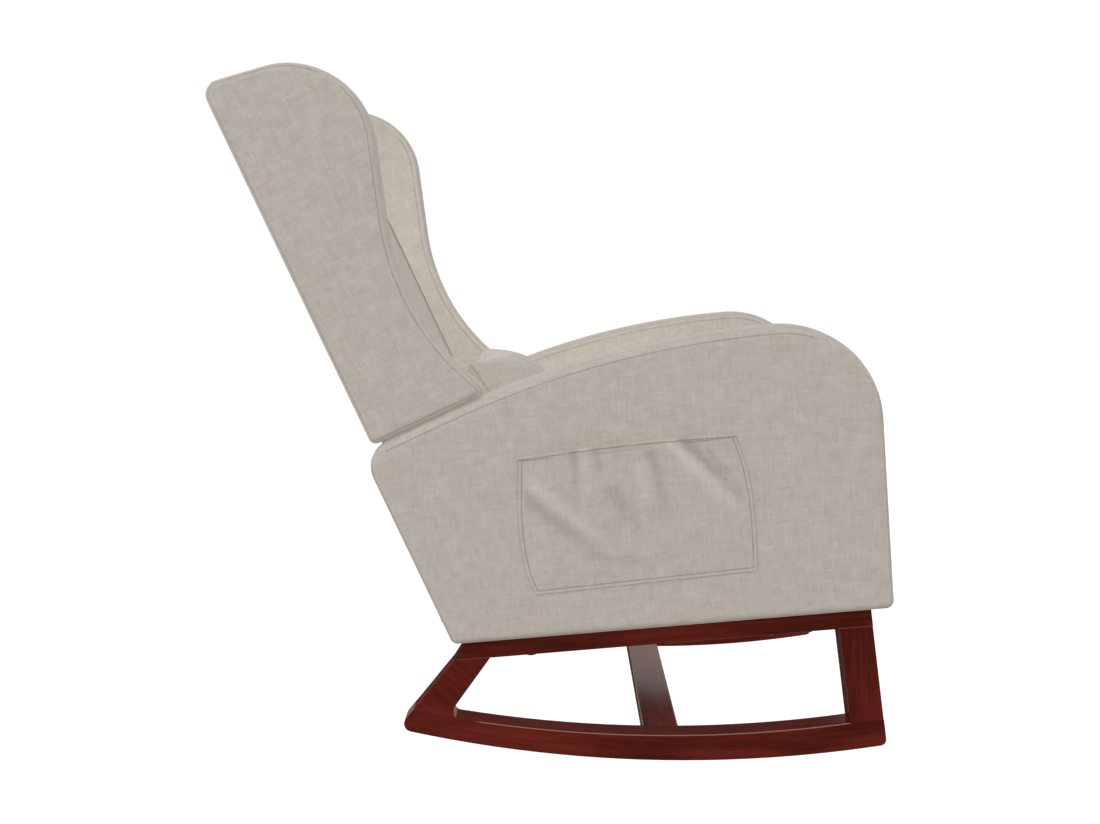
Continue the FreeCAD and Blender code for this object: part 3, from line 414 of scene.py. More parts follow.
def stops(length, near=0.0010, rows=15, far=0.009):
    """Shares along a side, close together near both its ends and wider between them."""
    close = near * np.arange(rows)
    steps = max(2, round((length - 2 * close[-1]) / far))
    middle = np.linspace(close[-1], length - close[-1], steps + 1)[1:-1]
    return np.concatenate([close, middle, length - close[::-1]]) / length


def boxed(name, leaning, corners, breaks, sign, face_x, back_x, face_round, back_round, crown):
    """An upholstered board seen from the side: two faces and the border strip between them.

    Each face is a four-sided patch blended between the outline's sides. Its X is the board's
    face, less a quarter round at the edge, less a shallow fall from a crown in the middle. The
    border joins the faces' rims and swells a little between them.
    """
    sides = outline_sides(corners, breaks)
    rear, top, front, bottom = sides[0], sides[1], sides[2][::-1], sides[3][::-1]
    u = stops((length_of(top) + length_of(bottom)) / 2)
    v = stops((length_of(rear) + length_of(front)) / 2)
    b, t, r, f = along(bottom, u), along(top, u), along(rear, v), along(front, v)
    uu, vv = u[:, None, None], v[None, :, None]
    flat = (1 - vv) * b[:, None] + vv * t[:, None] + (1 - uu) * r[None] + uu * f[None]
    flat -= (1 - uu) * ((1 - vv) * b[0] + vv * t[0]) + uu * ((1 - vv) * b[-1] + vv * t[-1])
    loop = closed_outline(corners)
    depth = nearest_edge(flat.reshape(-1, 2), loop)[0]
    rise = crown * (smooth(depth, *CROWN_FALL) - 1)
    outer = face_x + rise - quarter_round(depth, face_round)
    inner = back_x - rise + quarter_round(depth, back_round)
    rows, columns = len(u), len(v)
    grid = np.arange(rows * columns).reshape(rows, columns)
    rim = np.concatenate([grid[:-1, 0], grid[-1, :-1], grid[:0:-1, -1], grid[0, :0:-1]])
    edge = flat.reshape(-1, 2)[rim]
    away = away_from(edge)
    share = np.linspace(0, 1, 9)[1:-1]
    swell = BORDER_SWELL * np.sin(np.pi * share)
    border = np.concatenate([
        np.column_stack([
            outer[rim] * (1 - s) + inner[rim] * s,
            edge + away * w,
        ])
        for s, w in zip(share, swell)
    ])
    size = rows * columns
    face = np.column_stack([outer, flat.reshape(-1, 2)])
    back = np.column_stack([inner, flat.reshape(-1, 2)])
    ring = len(rim)
    layers = np.concatenate([rim, 2 * size + np.arange(ring * len(share)), rim + size])
    layers = layers.reshape(-1, ring)
    following = np.roll(layers, -1, 1)
    strip = np.stack([layers[:-1], layers[1:], following[1:], following[:-1]], -1).reshape(-1, 4)
    faces = np.concatenate([grid_faces(rows, columns), grid_faces(rows, columns, size), strip])
    points = np.concatenate([face, back, border])
    points[:, 0] *= sign
    return make(name, leaning.out(points), faces), loop


def carried(name, leaning, loop, half, lift, step=0.009, edge=0.003, narrow=None):
    """A profile carried along X from -half to half. lift(depth, height, share) moves its points,
    narrow(height) scales its width, and the two ends are rounded over a small edge radius and
    closed."""
    near = edge * (1 - np.cos(np.linspace(0, np.pi / 2, 5)[:-1]))
    middle = np.linspace(-half + edge, half - edge, max(3, round(2 * (half - edge) / step)))
    x = np.concatenate([-half + near, middle, half - near[::-1]])
    loop = evened(loop, step)
    away = away_from(loop)
    fall = quarter_round(half - np.abs(x), edge)
    depth = loop[None, :, 0] - fall[:, None] * away[None, :, 0]
    height = loop[None, :, 1] - fall[:, None] * away[None, :, 1]
    move = lift(depth, height, (x / half)[:, None])
    wide = x[:, None] * (narrow(height) if narrow else np.ones_like(depth))
    return skinned(name, leaning, np.stack([wide, depth + move[0], height + move[1]], -1))


def still(depth, height, share):
    """No movement."""
    return 0 * depth * share, 0 * height * share


# Cloth coordinates and seams


def corner_points(mesh):
    """The point number of each corner of a mesh's faces."""
    index = np.empty(len(mesh.loops), int)
    mesh.loops.foreach_get("vertex_index", index)
    return index


def lay_cloth(piece, leaning, seam, place=None):
    """Give a piece its cloth map, in metres, and its distance from the nearest seam.

    A face that looks along X takes (depth, height), one that looks along the depth takes
    (x, height) and one that looks up takes (depth, x), so the weave follows each panel. place,
    the length along a border, takes the turn's part on a boxed board's strip.
    """
    mesh = piece.data
    local = leaning.back(points_of(piece))
    normals = np.empty(len(mesh.polygons) * 3)
    mesh.polygons.foreach_get("normal", normals)
    turned = leaning.back(normals.reshape(-1, 3) + leaning.out(np.zeros(3)))
    totals = np.empty(len(mesh.polygons), int)
    mesh.polygons.foreach_get("loop_total", totals)
    side = np.repeat(np.abs(turned).argmax(1), totals)
    index = corner_points(mesh)
    x, depth, height = local[index].T
    if place is None:
        maps = [(depth, height), (x, height), (depth, x)]
    else:
        run = place[index]
        maps = [(depth, height), (x, run), (x, run)]
    uv = np.stack([np.choose(side, [m[k] for m in maps]) for k in range(2)], -1)
    layer = mesh.uv_layers.get("cloth") or mesh.uv_layers.new(name="cloth")
    layer.data.foreach_set("uv", uv.ravel().astype(np.float32))
    mark = mesh.attributes.get("seam") or mesh.attributes.new("seam", "FLOAT", "POINT")
    mark.data.foreach_set("value", seam(local).astype(np.float32))
    mesh.set_sharp_from_angle(angle=math.radians(38))


# FAR stands for no seam near. A board's seams show no deeper than these reaches from its faces,
# and change from upright to top edges between two shares of facing up.
FAR = 0.05
OUTER_REACH, INNER_REACH = 0.014, 0.010
UPRIGHT_TO_TOP = (0.15, 0.75)


def boxed_seams(loop, face_x, back_x, side_seam, top_seam, back_seam):
    """Distance to the seams of a boxed board: lines on its two faces, a little inside the edge.
    On the outer face the line lies side_seam in from an upright edge and top_seam from a top."""
    rise = smooth(facing_up(loop), *UPRIGHT_TO_TOP)

    def distance(local):
        gap, _, number = nearest_edge(local[:, 1:], loop)
        x = np.abs(local[:, 0])
        face_seam = side_seam + (top_seam - side_seam) * rise[number]
        on_face = np.abs(gap - face_seam) + np.maximum(0, face_x - OUTER_REACH - x)
        on_back = np.abs(gap - back_seam) + np.maximum(0, x - back_x - INNER_REACH)
        return np.minimum(np.minimum(on_face, on_back), FAR)

    return distance


def no_seams(local):
    """A cloth without a seam."""
    return np.full(len(local), FAR)


# Finishes


def paint(red, green, blue):
    """A colour given in screen values, as the light that it gives back."""
    share = np.array([red, green, blue]) / 255
    light = np.where(share <= 0.04045, share / 12.92, ((share + 0.055) / 1.055) ** 2.4)
    return (*light.tolist(), 1.0)


def shaded(tone, share):
    """A colour made darker or paler by a share."""
    return (*(min(1.0, c * share) for c in tone[:3]), 1.0)


class Field:
    """A number that changes over a surface, with arithmetic that adds Math nodes."""

    def __init__(self, finish, socket):
        self.finish, self.socket = finish, socket

    def math(self, operation, *others):
        values = dict(enumerate([self, *others]))
        return self.finish.node("ShaderNodeMath", {"operation": operation}, values)

    def __add__(self, other):
        return self.math("ADD", other)

    __radd__ = __add__

    def __sub__(self, other):
        return self.math("SUBTRACT", other)

    def __rsub__(self, other):
        return self.finish.node("ShaderNodeMath", {"operation": "SUBTRACT"}, {0: other, 1: self})

    def __mul__(self, other):
        return self.math("MULTIPLY", other)

    __rmul__ = __mul__

    def step(self, low, high, start=0.0, end=1.0):
        """A smooth change from start to end while this goes from low to high."""
        return self.finish.node(
            "ShaderNodeMapRange", {"interpolation_type": "SMOOTHSTEP"},
            {0: self, 1: low, 2: high, 3: start, 4: end},
        )


class Finish:
    """A material and the few calls that build its nodes."""

    def __init__(self, name, **constants):
        self.material = bpy.data.materials.new(name)
        self.material.use_nodes = True
        self.tree = self.material.node_tree
        self.shader = self.tree.nodes["Principled BSDF"]
        for socket, value in constants.items():
            self.shader.inputs[socket.replace("_", " ")].default_value = value

    def node(self, kind, settings=None, values=None, output=0):
        """Add a node: its settings first, then the values or links of its inputs."""
        added = self.tree.nodes.new(kind)
        for setting, value in (settings or {}).items():
            setattr(added, setting, value)
        for socket, value in (values or {}).items():
            self.feed(added.inputs[socket], value)
        return Field(self, added.outputs[output])

    def feed(self, socket, value):
        if isinstance(value, Field):
            self.tree.links.new(value.socket, socket)
        else:
            socket.default_value = value

    def set(self, **inputs):
        for socket, value in inputs.items():
            self.feed(self.shader.inputs[socket.replace("_", " ")], value)

    def cloth_map(self):
        return self.node("ShaderNodeUVMap", {"uv_map": "cloth"})

    def place(self):
        return self.node("ShaderNodeTexCoord", output=3)

    def mapped(self, vector, scale=(1, 1, 1), turn=(0, 0, 0), move=(0, 0, 0)):
        return self.node(
            "ShaderNodeMapping", {"vector_type": "POINT"},
            {0: vector, 1: move, 2: tuple(math.radians(a) for a in turn), 3: scale},
        )

    def noise(self, vector, scale, detail=2.0, roughness=0.5):
        return self.node(
            "ShaderNodeTexNoise", {"noise_dimensions": "3D"},
            {"Vector": vector, "Scale": scale, "Detail": detail, "Roughness": roughness},
        )

    def part(self, vector, axis):
        return self.node("ShaderNodeSeparateXYZ", None, {0: vector}, output="XYZ".index(axis))

    def vector(self, x, y, z):
        return self.node("ShaderNodeCombineXYZ", None, {0: x, 1: y, 2: z})

    def blend(self, share, a, b, kind="MIX"):
        return self.node(
            "ShaderNodeMix", {"data_type": "RGBA", "blend_type": kind},
            {0: share, 6: a, 7: b}, output=2,
        )

    def mark(self, name):
        return self.node("ShaderNodeAttribute", {"attribute_name": name}, output=2)

    def relief(self, height, distance=0.001, strength=1.0):
        return self.node(
            "ShaderNodeBump", None, {"Strength": strength, "Distance": distance, "Height": height},
        )


def linen(name, tone):
    """Slubbed linen: thick threads run up and across as short streaks a millimetre wide, over a
    fine plain weave, with soft clouds of tone and a dark line pressed in along each seam. A
    mesh's own attribute of painted light and shade, such as the pocket's folds, makes the
    colour lighter or darker."""
    cloth = Finish(
        name, Specular_IOR_Level=0.2, Sheen_Weight=0.12, Sheen_Roughness=0.5,
    )
    flat = cloth.cloth_map()
    slub, fine = 270, 1100
    up = cloth.noise(cloth.mapped(flat, (1, 0.15, 1)), slub, 2.0, 0.6)
    across = cloth.noise(cloth.mapped(flat, (0.15, 1, 1), move=(3, 5, 0)), slub, 2.0, 0.6)
    thread = cloth.noise(cloth.mapped(flat, (1, 0.12, 1), move=(1, 8, 0)), fine, 1.0, 0.5)
    filling = cloth.noise(cloth.mapped(flat, (0.12, 1, 1), move=(2, 6, 0)), fine, 1.0, 0.5)
    clouds = cloth.noise(flat, 30, 3.0, 0.6)
    wide = cloth.noise(cloth.mapped(flat, (1, 0.35, 1), move=(7, 1, 0)), 95, 2.0, 0.5)
    level = cloth.noise(cloth.mapped(flat, (0.3, 1, 1), move=(2, 9, 0)), 105, 2.0, 0.5)
    slubs = up.step(0.53, 0.70) + across.step(0.54, 0.71)
    thin = up.step(0.47, 0.32) + across.step(0.46, 0.31)
    u, v = cloth.part(flat, "X"), cloth.part(flat, "Y")
    weave = (u * 4200).math("SINE") * (v * 4200).math("SINE")
    seam = cloth.mark("seam").step(0.0002, 0.0011, 1.0, 0.0)
    beside = cloth.mark("seam").step(0.001, 0.006, 1.0, 0.0)
    light = slubs * 0.16 - thin * 0.15 + (clouds - 0.5) * 0.40 + (wide + level - 1.0) * 0.42 + 0.5
    # The mesh's painted light and shade, such as the pocket's folds, lightens or darkens the
    # colour.
    light = light + (thread + filling - 1.0) * 0.30 + cloth.mark("painted_shade") * 0.38
    colour = cloth.blend(light, shaded(tone, 0.80), shaded(tone, 1.20))
    colour = cloth.blend(seam * 0.45, colour, shaded(tone, 0.50))
    height = slubs * 0.10 - thin * 0.06 + weave * 0.04 + (thread + filling) * 0.08
    height = height - seam * 0.7 - beside * 0.35
    cloth.set(
        Base_Color=colour,
        Roughness=slubs * -0.06 + 0.93,
        Normal=cloth.relief(height),
    )
    return cloth.material


STAIN_DARK, STAIN_LIGHT = paint(68, 24, 19), paint(116, 43, 33)
# The pores' dark stain, and the pale colour of a painted highlight along lit edges.
STAIN_PORES, ARRIS_HIGHLIGHT = paint(36, 12, 10), paint(168, 120, 104)


def mahogany(name, centre=(0, 0, 0), lean=0.0, along_x=False, bow=None, painted_shade=1.0, arris=None,
             dull=(0.755, 0.86)):
    """Stained mahogany under satin lacquer. Streaks run along the member, ribbon bands lie wide
    across them, pores are short dark strokes, and the lacquer shines at a low angle only, and
    less again where the face turns almost edge on, between the two limits of dull. bow gives the
    middle and radius of a bent member, arris a line where a pale painted highlight stands for a
    lit edge, and a share of painted shade darkens the whole stain of a member in the shade
    under the chair."""
    wood = Finish(name, Specular_IOR_Level=0.0, IOR=1.0, Coat_Roughness=0.16, Coat_IOR=1.5)
    here = wood.place()
    if bow:
        y, z = wood.part(here, "Y") - bow[0], bow[1] - wood.part(here, "Z")
        radius = (y * y + z * z).math("SQRT")
        angle = y.math("ARCTAN2", z)
        here = wood.vector(wood.part(here, "X"), angle * bow[2], radius)
    else:
        here = wood.mapped(here, turn=(lean, 0, 90 if along_x else 0))
    streak = wood.noise(wood.mapped(here, (1, 0.045, 1), move=centre), 190, 4.0, 0.65)
    ribbon = wood.noise(wood.mapped(here, (1, 0.22, 1), move=centre), 17, 3.0, 0.55)
    pores = wood.noise(wood.mapped(here, (1, 0.06, 1), move=centre), 900, 1.0, 0.5)
    tone = streak * 0.42 + ribbon * 0.75 - 0.12
    # The whole stain is darkened by a share of painted shade, for a member in the shade under the
    # chair.
    dark, light = shaded(STAIN_DARK, painted_shade), shaded(STAIN_LIGHT, painted_shade)
    colour = wood.blend(tone.step(0.25, 0.75), dark, light)
    colour = wood.blend(pores.step(0.60, 0.75) * 0.5, colour, STAIN_PORES)
    # A painted highlight where an edge would catch the light.
    if arris:
        colour = wood.blend(arris(wood) * 0.75, colour, ARRIS_HIGHLIGHT)
    facing = wood.node("ShaderNodeLayerWeight", None, {"Blend": 0.5}, output=1)
    wood.set(
        Base_Color=colour,
        Roughness=streak * 0.16 + 0.30,
        Coat_Weight=facing.step(0.25, 0.72, 0.0, 0.46) - facing.step(*dull, 0.0, 0.44),
        Normal=wood.relief(streak * 0.05 + pores * 0.04, 0.001, 0.6),
    )
    return wood.material


# The painted highlights on the lit arris lines lie on the base's outer faces, in the seat's
# frame: a rail's foot before and behind its open middle, and a runner's hollow top, a circle
# with its middle and radius.
# Each pair is where a line begins and where it is full.
BASE_FACE = (0.3436, 0.3444)
RAIL_FOOT, RAIL_FRONT, RAIL_REAR = (0.1800, 0.1808), (-0.0816, -0.0796), (0.416, 0.418)
HOLLOW_FRONT, HOLLOW_REAR, HOLLOW_LINE = (-0.089, -0.087), (0.435, 0.450), (0.0008, 0.0017)
HOLLOW_DEPTH, HOLLOW_HEIGHT, HOLLOW_RADIUS = 0.0163, 1.9037, 1.865


def seat_place(wood):
    """A finish's distance from the chair's middle, its depth and its height, in the seat's
    frame."""
    here = wood.place()
    y, z = wood.part(here, "Y") - SEAT.y, wood.part(here, "Z") - SEAT.z
    x = wood.part(here, "X").math("ABSOLUTE")
    return x, y * SEAT.c - z * SEAT.s, y * SEAT.s + z * SEAT.c


def rail_edge_highlight(wood):
    """A painted highlight on the lit lower edge of a base rail where it meets its two posts."""
    x, depth, height = seat_place(wood)
    ends = depth.step(*RAIL_FRONT, 1.0, 0.0) + depth.step(*RAIL_REAR)
    return height.step(*RAIL_FOOT, 1.0, 0.0) * ends * x.step(*BASE_FACE)


def runner_edge_highlight(wood):
    """A painted highlight on the lit outer edge of a runner's hollow top, a circle of its own."""
    x, depth, height = seat_place(wood)
    across, up = depth - HOLLOW_DEPTH, HOLLOW_HEIGHT - height
    below = (across * across + up * up).math("SQRT") - HOLLOW_RADIUS
    between = depth.step(*HOLLOW_FRONT) * depth.step(*HOLLOW_REAR, 1.0, 0.0)
    return below.step(*HOLLOW_LINE, 1.0, 0.0) * between * x.step(*BASE_FACE)


def frame_timber(name, light, dark, lean=0.0, along_x=False, plies=None):
    """Bare frame wood, or plywood whose edge shows its plies across one axis."""
    wood = Finish(name, Specular_IOR_Level=0.3)
    here = wood.mapped(wood.place(), turn=(lean, 0, 90 if along_x else 0))
    streak = wood.noise(wood.mapped(here, (1, 0.05, 1)), 140, 4.0, 0.6)
    flecks = wood.noise(wood.mapped(here, (1, 0.2, 1), move=(4, 0, 2)), 700, 1.0, 0.5)
    tone = streak.step(0.3, 0.7)
    colour = wood.blend(tone, light, dark)
    colour = wood.blend(flecks.step(0.62, 0.72) * 0.4, colour, shaded(dark, 0.6))
    height = streak * 0.1
    if plies:
        layer = (wood.part(wood.place(), "X") * (math.tau / plies)).math("SINE")
        colour = wood.blend(layer.step(-0.2, 0.4) * 0.25, colour, dark)
        height = height + layer * 0.03
    wood.set(Base_Color=colour, Roughness=tone * -0.1 + 0.68, Normal=wood.relief(height))
    return wood.material


def metal(name, tone, rough):
    """Plated steel: fine scratches along the piece, dull spots and a soft shine."""
    steel = Finish(name, Metallic=1.0)
    here = steel.place()
    scratch = steel.noise(steel.mapped(here, (1, 0.08, 1)), 1400, 2.0, 0.6)
    dull = steel.noise(here, 70, 3.0, 0.6)
    steel.set(
        Base_Color=steel.blend(dull.step(0.45, 0.7), tone, shaded(tone, 0.7)),
        Roughness=dull * 0.25 + scratch * 0.15 + rough,
        Normal=steel.relief(scratch * 0.02),
    )
    return steel.material


def moulded(name, tone):
    """Moulded plastic with a fine grain and slight flow marks."""
    clip = Finish(name, Specular_IOR_Level=0.4)
    here = clip.place()
    grain = clip.noise(here, 1800, 1.0, 0.5)
    flow = clip.noise(clip.mapped(here, (1, 0.3, 1)), 120, 2.0, 0.5)
    clip.set(
        Base_Color=clip.blend(flow.step(0.4, 0.7), tone, shaded(tone, 0.75)),
        Roughness=grain * 0.2 + 0.42,
        Normal=clip.relief(grain * 0.03),
    )
    return clip.material


def felt(name, tone, spots, scale=420):
    """Pressed felt or spun cloth: matted fibres with scattered darker ones."""
    mat = Finish(name, Specular_IOR_Level=0.15, Sheen_Weight=0.2)
    here = mat.place()
    fibres = mat.noise(mat.mapped(here, (1, 0.25, 1), turn=(0, 0, 31)), scale, 3.0, 0.7)
    crossed = mat.noise(mat.mapped(here, (0.25, 1, 1), turn=(0, 0, -23)), scale, 3.0, 0.7)
    tone_mix = (fibres + crossed) * 0.5
    mat.set(
        Base_Color=mat.blend(tone_mix.step(0.42, 0.60), tone, spots),
        Roughness=tone_mix * 0.1 + 0.88,
        Normal=mat.relief(tone_mix * 0.35),
    )
    return mat.material


def strapping(name, tone, thread):
    """Woven elastic webbing: ribs across the strap with a coloured thread near its edges."""
    strap = Finish(name, Specular_IOR_Level=0.2)
    flat = strap.cloth_map()
    ribs = (strap.part(flat, "X") * 2400).math("SINE")
    rows = (strap.part(flat, "Y") * 1800).math("SINE")
    line = strap.mark("seam").step(0.0008, 0.0016, 1.0, 0.0)
    colour = strap.blend(ribs.step(-0.4, 0.6) * 0.35, tone, shaded(tone, 0.6))
    strap.set(
        Base_Color=strap.blend(line, colour, thread),
        Roughness=ribs * 0.04 + 0.8,
        Normal=strap.relief(ribs * 0.12 + rows * 0.06),
    )
    return strap.material


LINEN = linen("linen", paint(186, 178, 168))


def finish_piece(piece, material, slot, body, *replaced):
    """Give a made piece its material and its body, and hide the CAD nodes that it stands for.
    slot is not used.
    """
    piece.data.materials.clear()
    piece.data.materials.append(material)
    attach(piece, body)
    if replaced:
        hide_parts(*replaced)
    return piece


def upholster(piece, leaning, seam, node, place=None, body="chair"):
    lay_cloth(piece, leaning, seam, place)
    finish_piece(piece, LINEN, "upholstery", body, node)


# Arms and wings


HANDS = {"right": -1, "left": 1}


def mirrored(sign, inner, outer):
    """Inner and outer places along X, as low and high on one side of the chair."""
    return (inner, outer) if sign > 0 else (-outer, -inner)


def board_cover(name, node, leaning, sign, corners, breaks, faces, rounds, spaces, seams):
    """An upholstered board: its boxed form between two faces, less the spaces that hold rails
    and a panel. A space is an outline with its inner and outer place along X."""
    piece, loop = boxed(name, leaning, corners, breaks, sign, *faces, *rounds, FACE_CROWN)
    cut_out(piece, [
        prism("space", leaning, outline, *mirrored(sign, inner, outer))
        for outline, inner, outer in spaces
    ])
    place = nearest_edge(leaning.back(points_of(piece))[:, 1:], loop)[1]
    upholster(piece, leaning, boxed_seams(loop, *faces, *seams), node, place)


def arm_cover(hand):
    """The arm: a boxed board with the seat rails' room and the panel's slot cut out of it."""
    board_rear = REAR_STEP - FRAME_INSET
    behind = board_rear - BOARD_THICKNESS - SOFT_GAP
    above = FRAME_TOP + SOFT_GAP
    beyond = raked_at(REAR_STEP + OVERCUT, ARM_HEIGHT)
    room = np.array([
        (FRAME_FRONT - SOFT_GAP, SEAT_FLOOR - OVERCUT),
        (beyond, SEAT_FLOOR - OVERCUT),
        (beyond, ARM_HEIGHT),
        (raked_at(behind, ARM_HEIGHT), ARM_HEIGHT),
        (raked_at(behind, above), above),
        (FRAME_FRONT - SOFT_GAP, above),
    ])
    slot = closed_outline(arm_corners(FRAME_INSET - SOFT_GAP))
    board_cover(
        f"{hand}_arm_cover", f"{hand}_arm_padding", SEAT, HANDS[hand],
        arm_corners(0, full=ARM_REAR_FULL), [0, 1, 3, 4], (HALF_WIDTH, ARM_INNER), ARM_ROUNDS,
        [(room, ARM_INNER - OVERCUT, PANEL_INNER),
         (slot, PANEL_INNER - SOFT_GAP, PANEL_OUTER + SOFT_GAP)], ARM_SEAMS,
    )


def wing_cover(hand):
    """The wing: a boxed board behind whose front third the backrest and the rails have room."""
    front = PAD_FRONT - SOFT_GAP
    room = np.array([
        (front, -OVERCUT), (OVERCUT, -OVERCUT),
        (OVERCUT, BACK_HEIGHT + OVERCUT), (front, BACK_HEIGHT + OVERCUT),
    ])
    slot = closed_outline(wing_corners(FRAME_INSET - SOFT_GAP))
    board_cover(
        f"{hand}_wing_cover", f"{hand}_wing_padding", BACK, HANDS[hand],
        wing_corners(0), [0, 1, 2, 4], (WING_OUTER, WING_INNER), WING_ROUNDS,
        [(room, WING_INNER - OVERCUT, WING_PANEL_INNER),
         (slot, WING_PANEL_INNER - SOFT_GAP, WING_PANEL_OUTER + SOFT_GAP)], WING_SEAMS,
    )


for side in HANDS:
    arm_cover(side)
    wing_cover(side)


# Plain covers: rear of the back, rear of the seat, front apron, deck and dust cover


def line_seams(lines):
    """Distance to straight seams in the (depth, height) plane, each a point."""

    def distance(local):
        gaps = [np.hypot(local[:, 1] - d, local[:, 2] - h) for d, h in lines]
        return np.minimum(np.min(gaps, axis=0), FAR)

    return distance


def back_cover():
    """The panel over the rear of the back: a profile carried along X. Its outer face is drawn in
    at the rim by 3 mm times the eighth power of the way from the middle, across and up."""
    top = back_top(0)
    loop = closed_outline([
        (-BACK_COVER, 0, 0), (0, 0, 0.007),
        (0, top, 0.012), (-BACK_COVER, back_top(-BACK_COVER), 0),
    ])

    def lift(depth, height, share):
        drawn = 0.003 * (share ** 8 + (2 * height / BACK_HEIGHT - 1) ** 8)
        return -drawn * smooth(depth, -BACK_COVER, 0), 0 * height * share

    piece = carried("back_rear_cover", BACK, loop, WING_PANEL_INNER - SOFT_GAP, lift)
    upholster(piece, BACK, line_seams([(0, 0.006), (0, top - 0.008)]), "back_outer_cover")


def seat_rear():
    """The cover over the seat's rear board: one profile, wrapped over the board's top and
    carried straight along X."""
    board_rear = REAR_STEP - FRAME_INSET
    rear, front = board_rear + SOFT_GAP, board_rear - BOARD_THICKNESS - SOFT_GAP
    low = SOFT_GAP - UNIT_GAP - FRAME_INSET
    loop = closed_outline([
        (raked_at(rear, SEAT_FLOOR), SEAT_FLOOR, 0),
        (raked_at(REAR_STEP, SEAT_FLOOR), SEAT_FLOOR, 0.006),
        (*from_back(REAR_STEP, -UNIT_GAP), REAR_CORNER),
        (*from_back(front, -UNIT_GAP), 0),
        (*from_back(front, low), 0),
        (*from_back(rear, low), 0),
    ])
    piece = carried("seat_rear_wrap", SEAT, loop, PANEL_INNER - SOFT_GAP, still)
    hem = SEAT_FLOOR + 0.01
    upholster(piece, SEAT, line_seams([(raked_at(REAR_STEP, hem), hem)]), "seat_rear_cover")


APRON_LIP = 0.006
APRON_FLAP_REAR = -0.128


def apron():
    """The padded strip under the seat cushion, between the arms. Its soft upper edge stands up
    in front of the cushion's foot, and a flap of its cloth lies over the rail, under the
    cushion. The front face stands back at its upper and lower edges by 2 mm times the square of
    the way from its middle height."""
    top, rear = CUSHION_LOW + APRON_LIP, FRAME_FRONT - SOFT_GAP
    flap_low, flap_top, flap_rear = CUSHION_LOW - 0.004, CUSHION_LOW - 0.0002, APRON_FLAP_REAR
    loop = closed_outline([
        (-FRONT_FOOT, SEAT_FLOOR, 0.003), (rear, SEAT_FLOOR, 0), (rear, flap_low, 0),
        (flap_rear, flap_low, 0.001), (flap_rear, flap_top, 0.001), (rear, flap_top, 0),
        (rear, top, 0.001), (-FRONT_FOOT, top, 0.006),
    ])

    def lift(depth, height, share):
        middle = 1 - (2 * (height - SEAT_FLOOR) / (top - SEAT_FLOOR) - 1) ** 2
        front = smooth(-depth, -FRAME_FRONT, FRONT_FOOT)
        return 0.002 * (1 - middle) * front, 0 * height * share

    piece = carried("front_apron_cover", SEAT, loop, ARM_INNER - SOFT_GAP, lift, 0.004)
    hem = (-FRONT_FOOT, SEAT_FLOOR + 0.008)
    upholster(piece, SEAT, line_seams([hem]), "front_apron")


back_cover()
seat_rear()
apron()


def slab_in(leaning, node, name, edge, dip):
    """A soft slab in the place of a CAD node. Its top sags by dip, times one less the square of
    the way from the middle, across and in depth."""
    flat = np.array([v.co for v in nodes[node].data.vertices])
    local = leaning.back(flat)
    (x0, d0, h0), (x1, d1, h1) = local.min(0), local.max(0)
    loop = closed_outline([(d0, h0, edge), (d1, h0, edge), (d1, h1, edge), (d0, h1, edge)])

    def lift(depth, height, share):
        middle = (1 - share ** 2) * np.clip(1 - (2 * (depth - d0) / (d1 - d0) - 1) ** 2, 0, 1)
        return 0 * depth * share, -dip * middle * (height > (h0 + h1) / 2)

    piece = carried(name, leaning, loop, x1, lift, 0.014, edge)
    lay_cloth(piece, leaning, no_seams)
    return piece, (2 * x1, d1 - d0)


deck = slab_in(SEAT, "seat_deck_pad", "seat_deck_felt", 0.002, 0.001)[0]
DECK_FELT = felt("deck_felt", paint(120, 118, 116), paint(72, 74, 80))
finish_piece(deck, DECK_FELT, "deck_felt", "chair", "seat_deck_pad")

dust, dust_size = slab_in(SEAT, "dust_cover", "seat_dust_cover", 0.0005, 0.0)
SPUN_CLOTH = felt("spun_cloth", paint(42, 42, 44), paint(26, 26, 28), 700)
finish_piece(dust, SPUN_CLOTH, "under_cloth", "chair", "dust_cover")


def straps():
    """Four elastic straps across the back: flat rounded bands carried straight along X, at a
    fifth of the back's height from each other."""
    local = BACK.back(np.array([v.co for v in nodes["back_webbing"].data.vertices]))
    x1, d0, d1 = local[:, 0].max(), local[:, 1].min(), local[:, 1].max()
    heights = local[:, 2]
    round_edge, thread = 0.0004, 0.008
    for number in range(4):
        middle = 0.064 + number * BACK_HEIGHT / 5
        strap = heights[np.abs(heights - middle) < 0.03]
        low, high = strap.min(), strap.max()
        loop = closed_outline([
            (d, h, round_edge) for d, h in ((d0, low), (d1, low), (d1, high), (d0, high))
        ])
        piece = carried(f"back_strap_{number}", BACK, loop, x1, still, 0.012, round_edge)

        def threads(p):
            return np.minimum(np.abs(p[:, 2] - low - thread), np.abs(p[:, 2] - high + thread))

        lay_cloth(piece, BACK, threads)
        finish_piece(piece, STRAP, "webbing", "chair", *(["back_webbing"] if number == 0 else []))


STRAP = strapping("elastic_strap", paint(58, 56, 54), paint(150, 60, 48))
straps()


# Padded pieces: a cloth simulation puffs the seat cushion and the lumbar pillow, not the backrest


def twin_of(node):
    """A merged copy of a CAD node, used to keep a padded piece inside its own space."""
    copy = nodes[node].copy()
    copy.data = nodes[node].data.copy()
    copy.name = copy.data.name = f"{node}_twin"
    for key in list(copy.keys()):
        del copy[key]
    copy.parent = None
    copy.matrix_world = nodes[node].matrix_world
    copy.hide_render = copy.hide_viewport = False
    bpy.context.scene.collection.objects.link(copy)
    turn_faces_out(copy.data)
    return copy


PUFF_FRAMES = 20


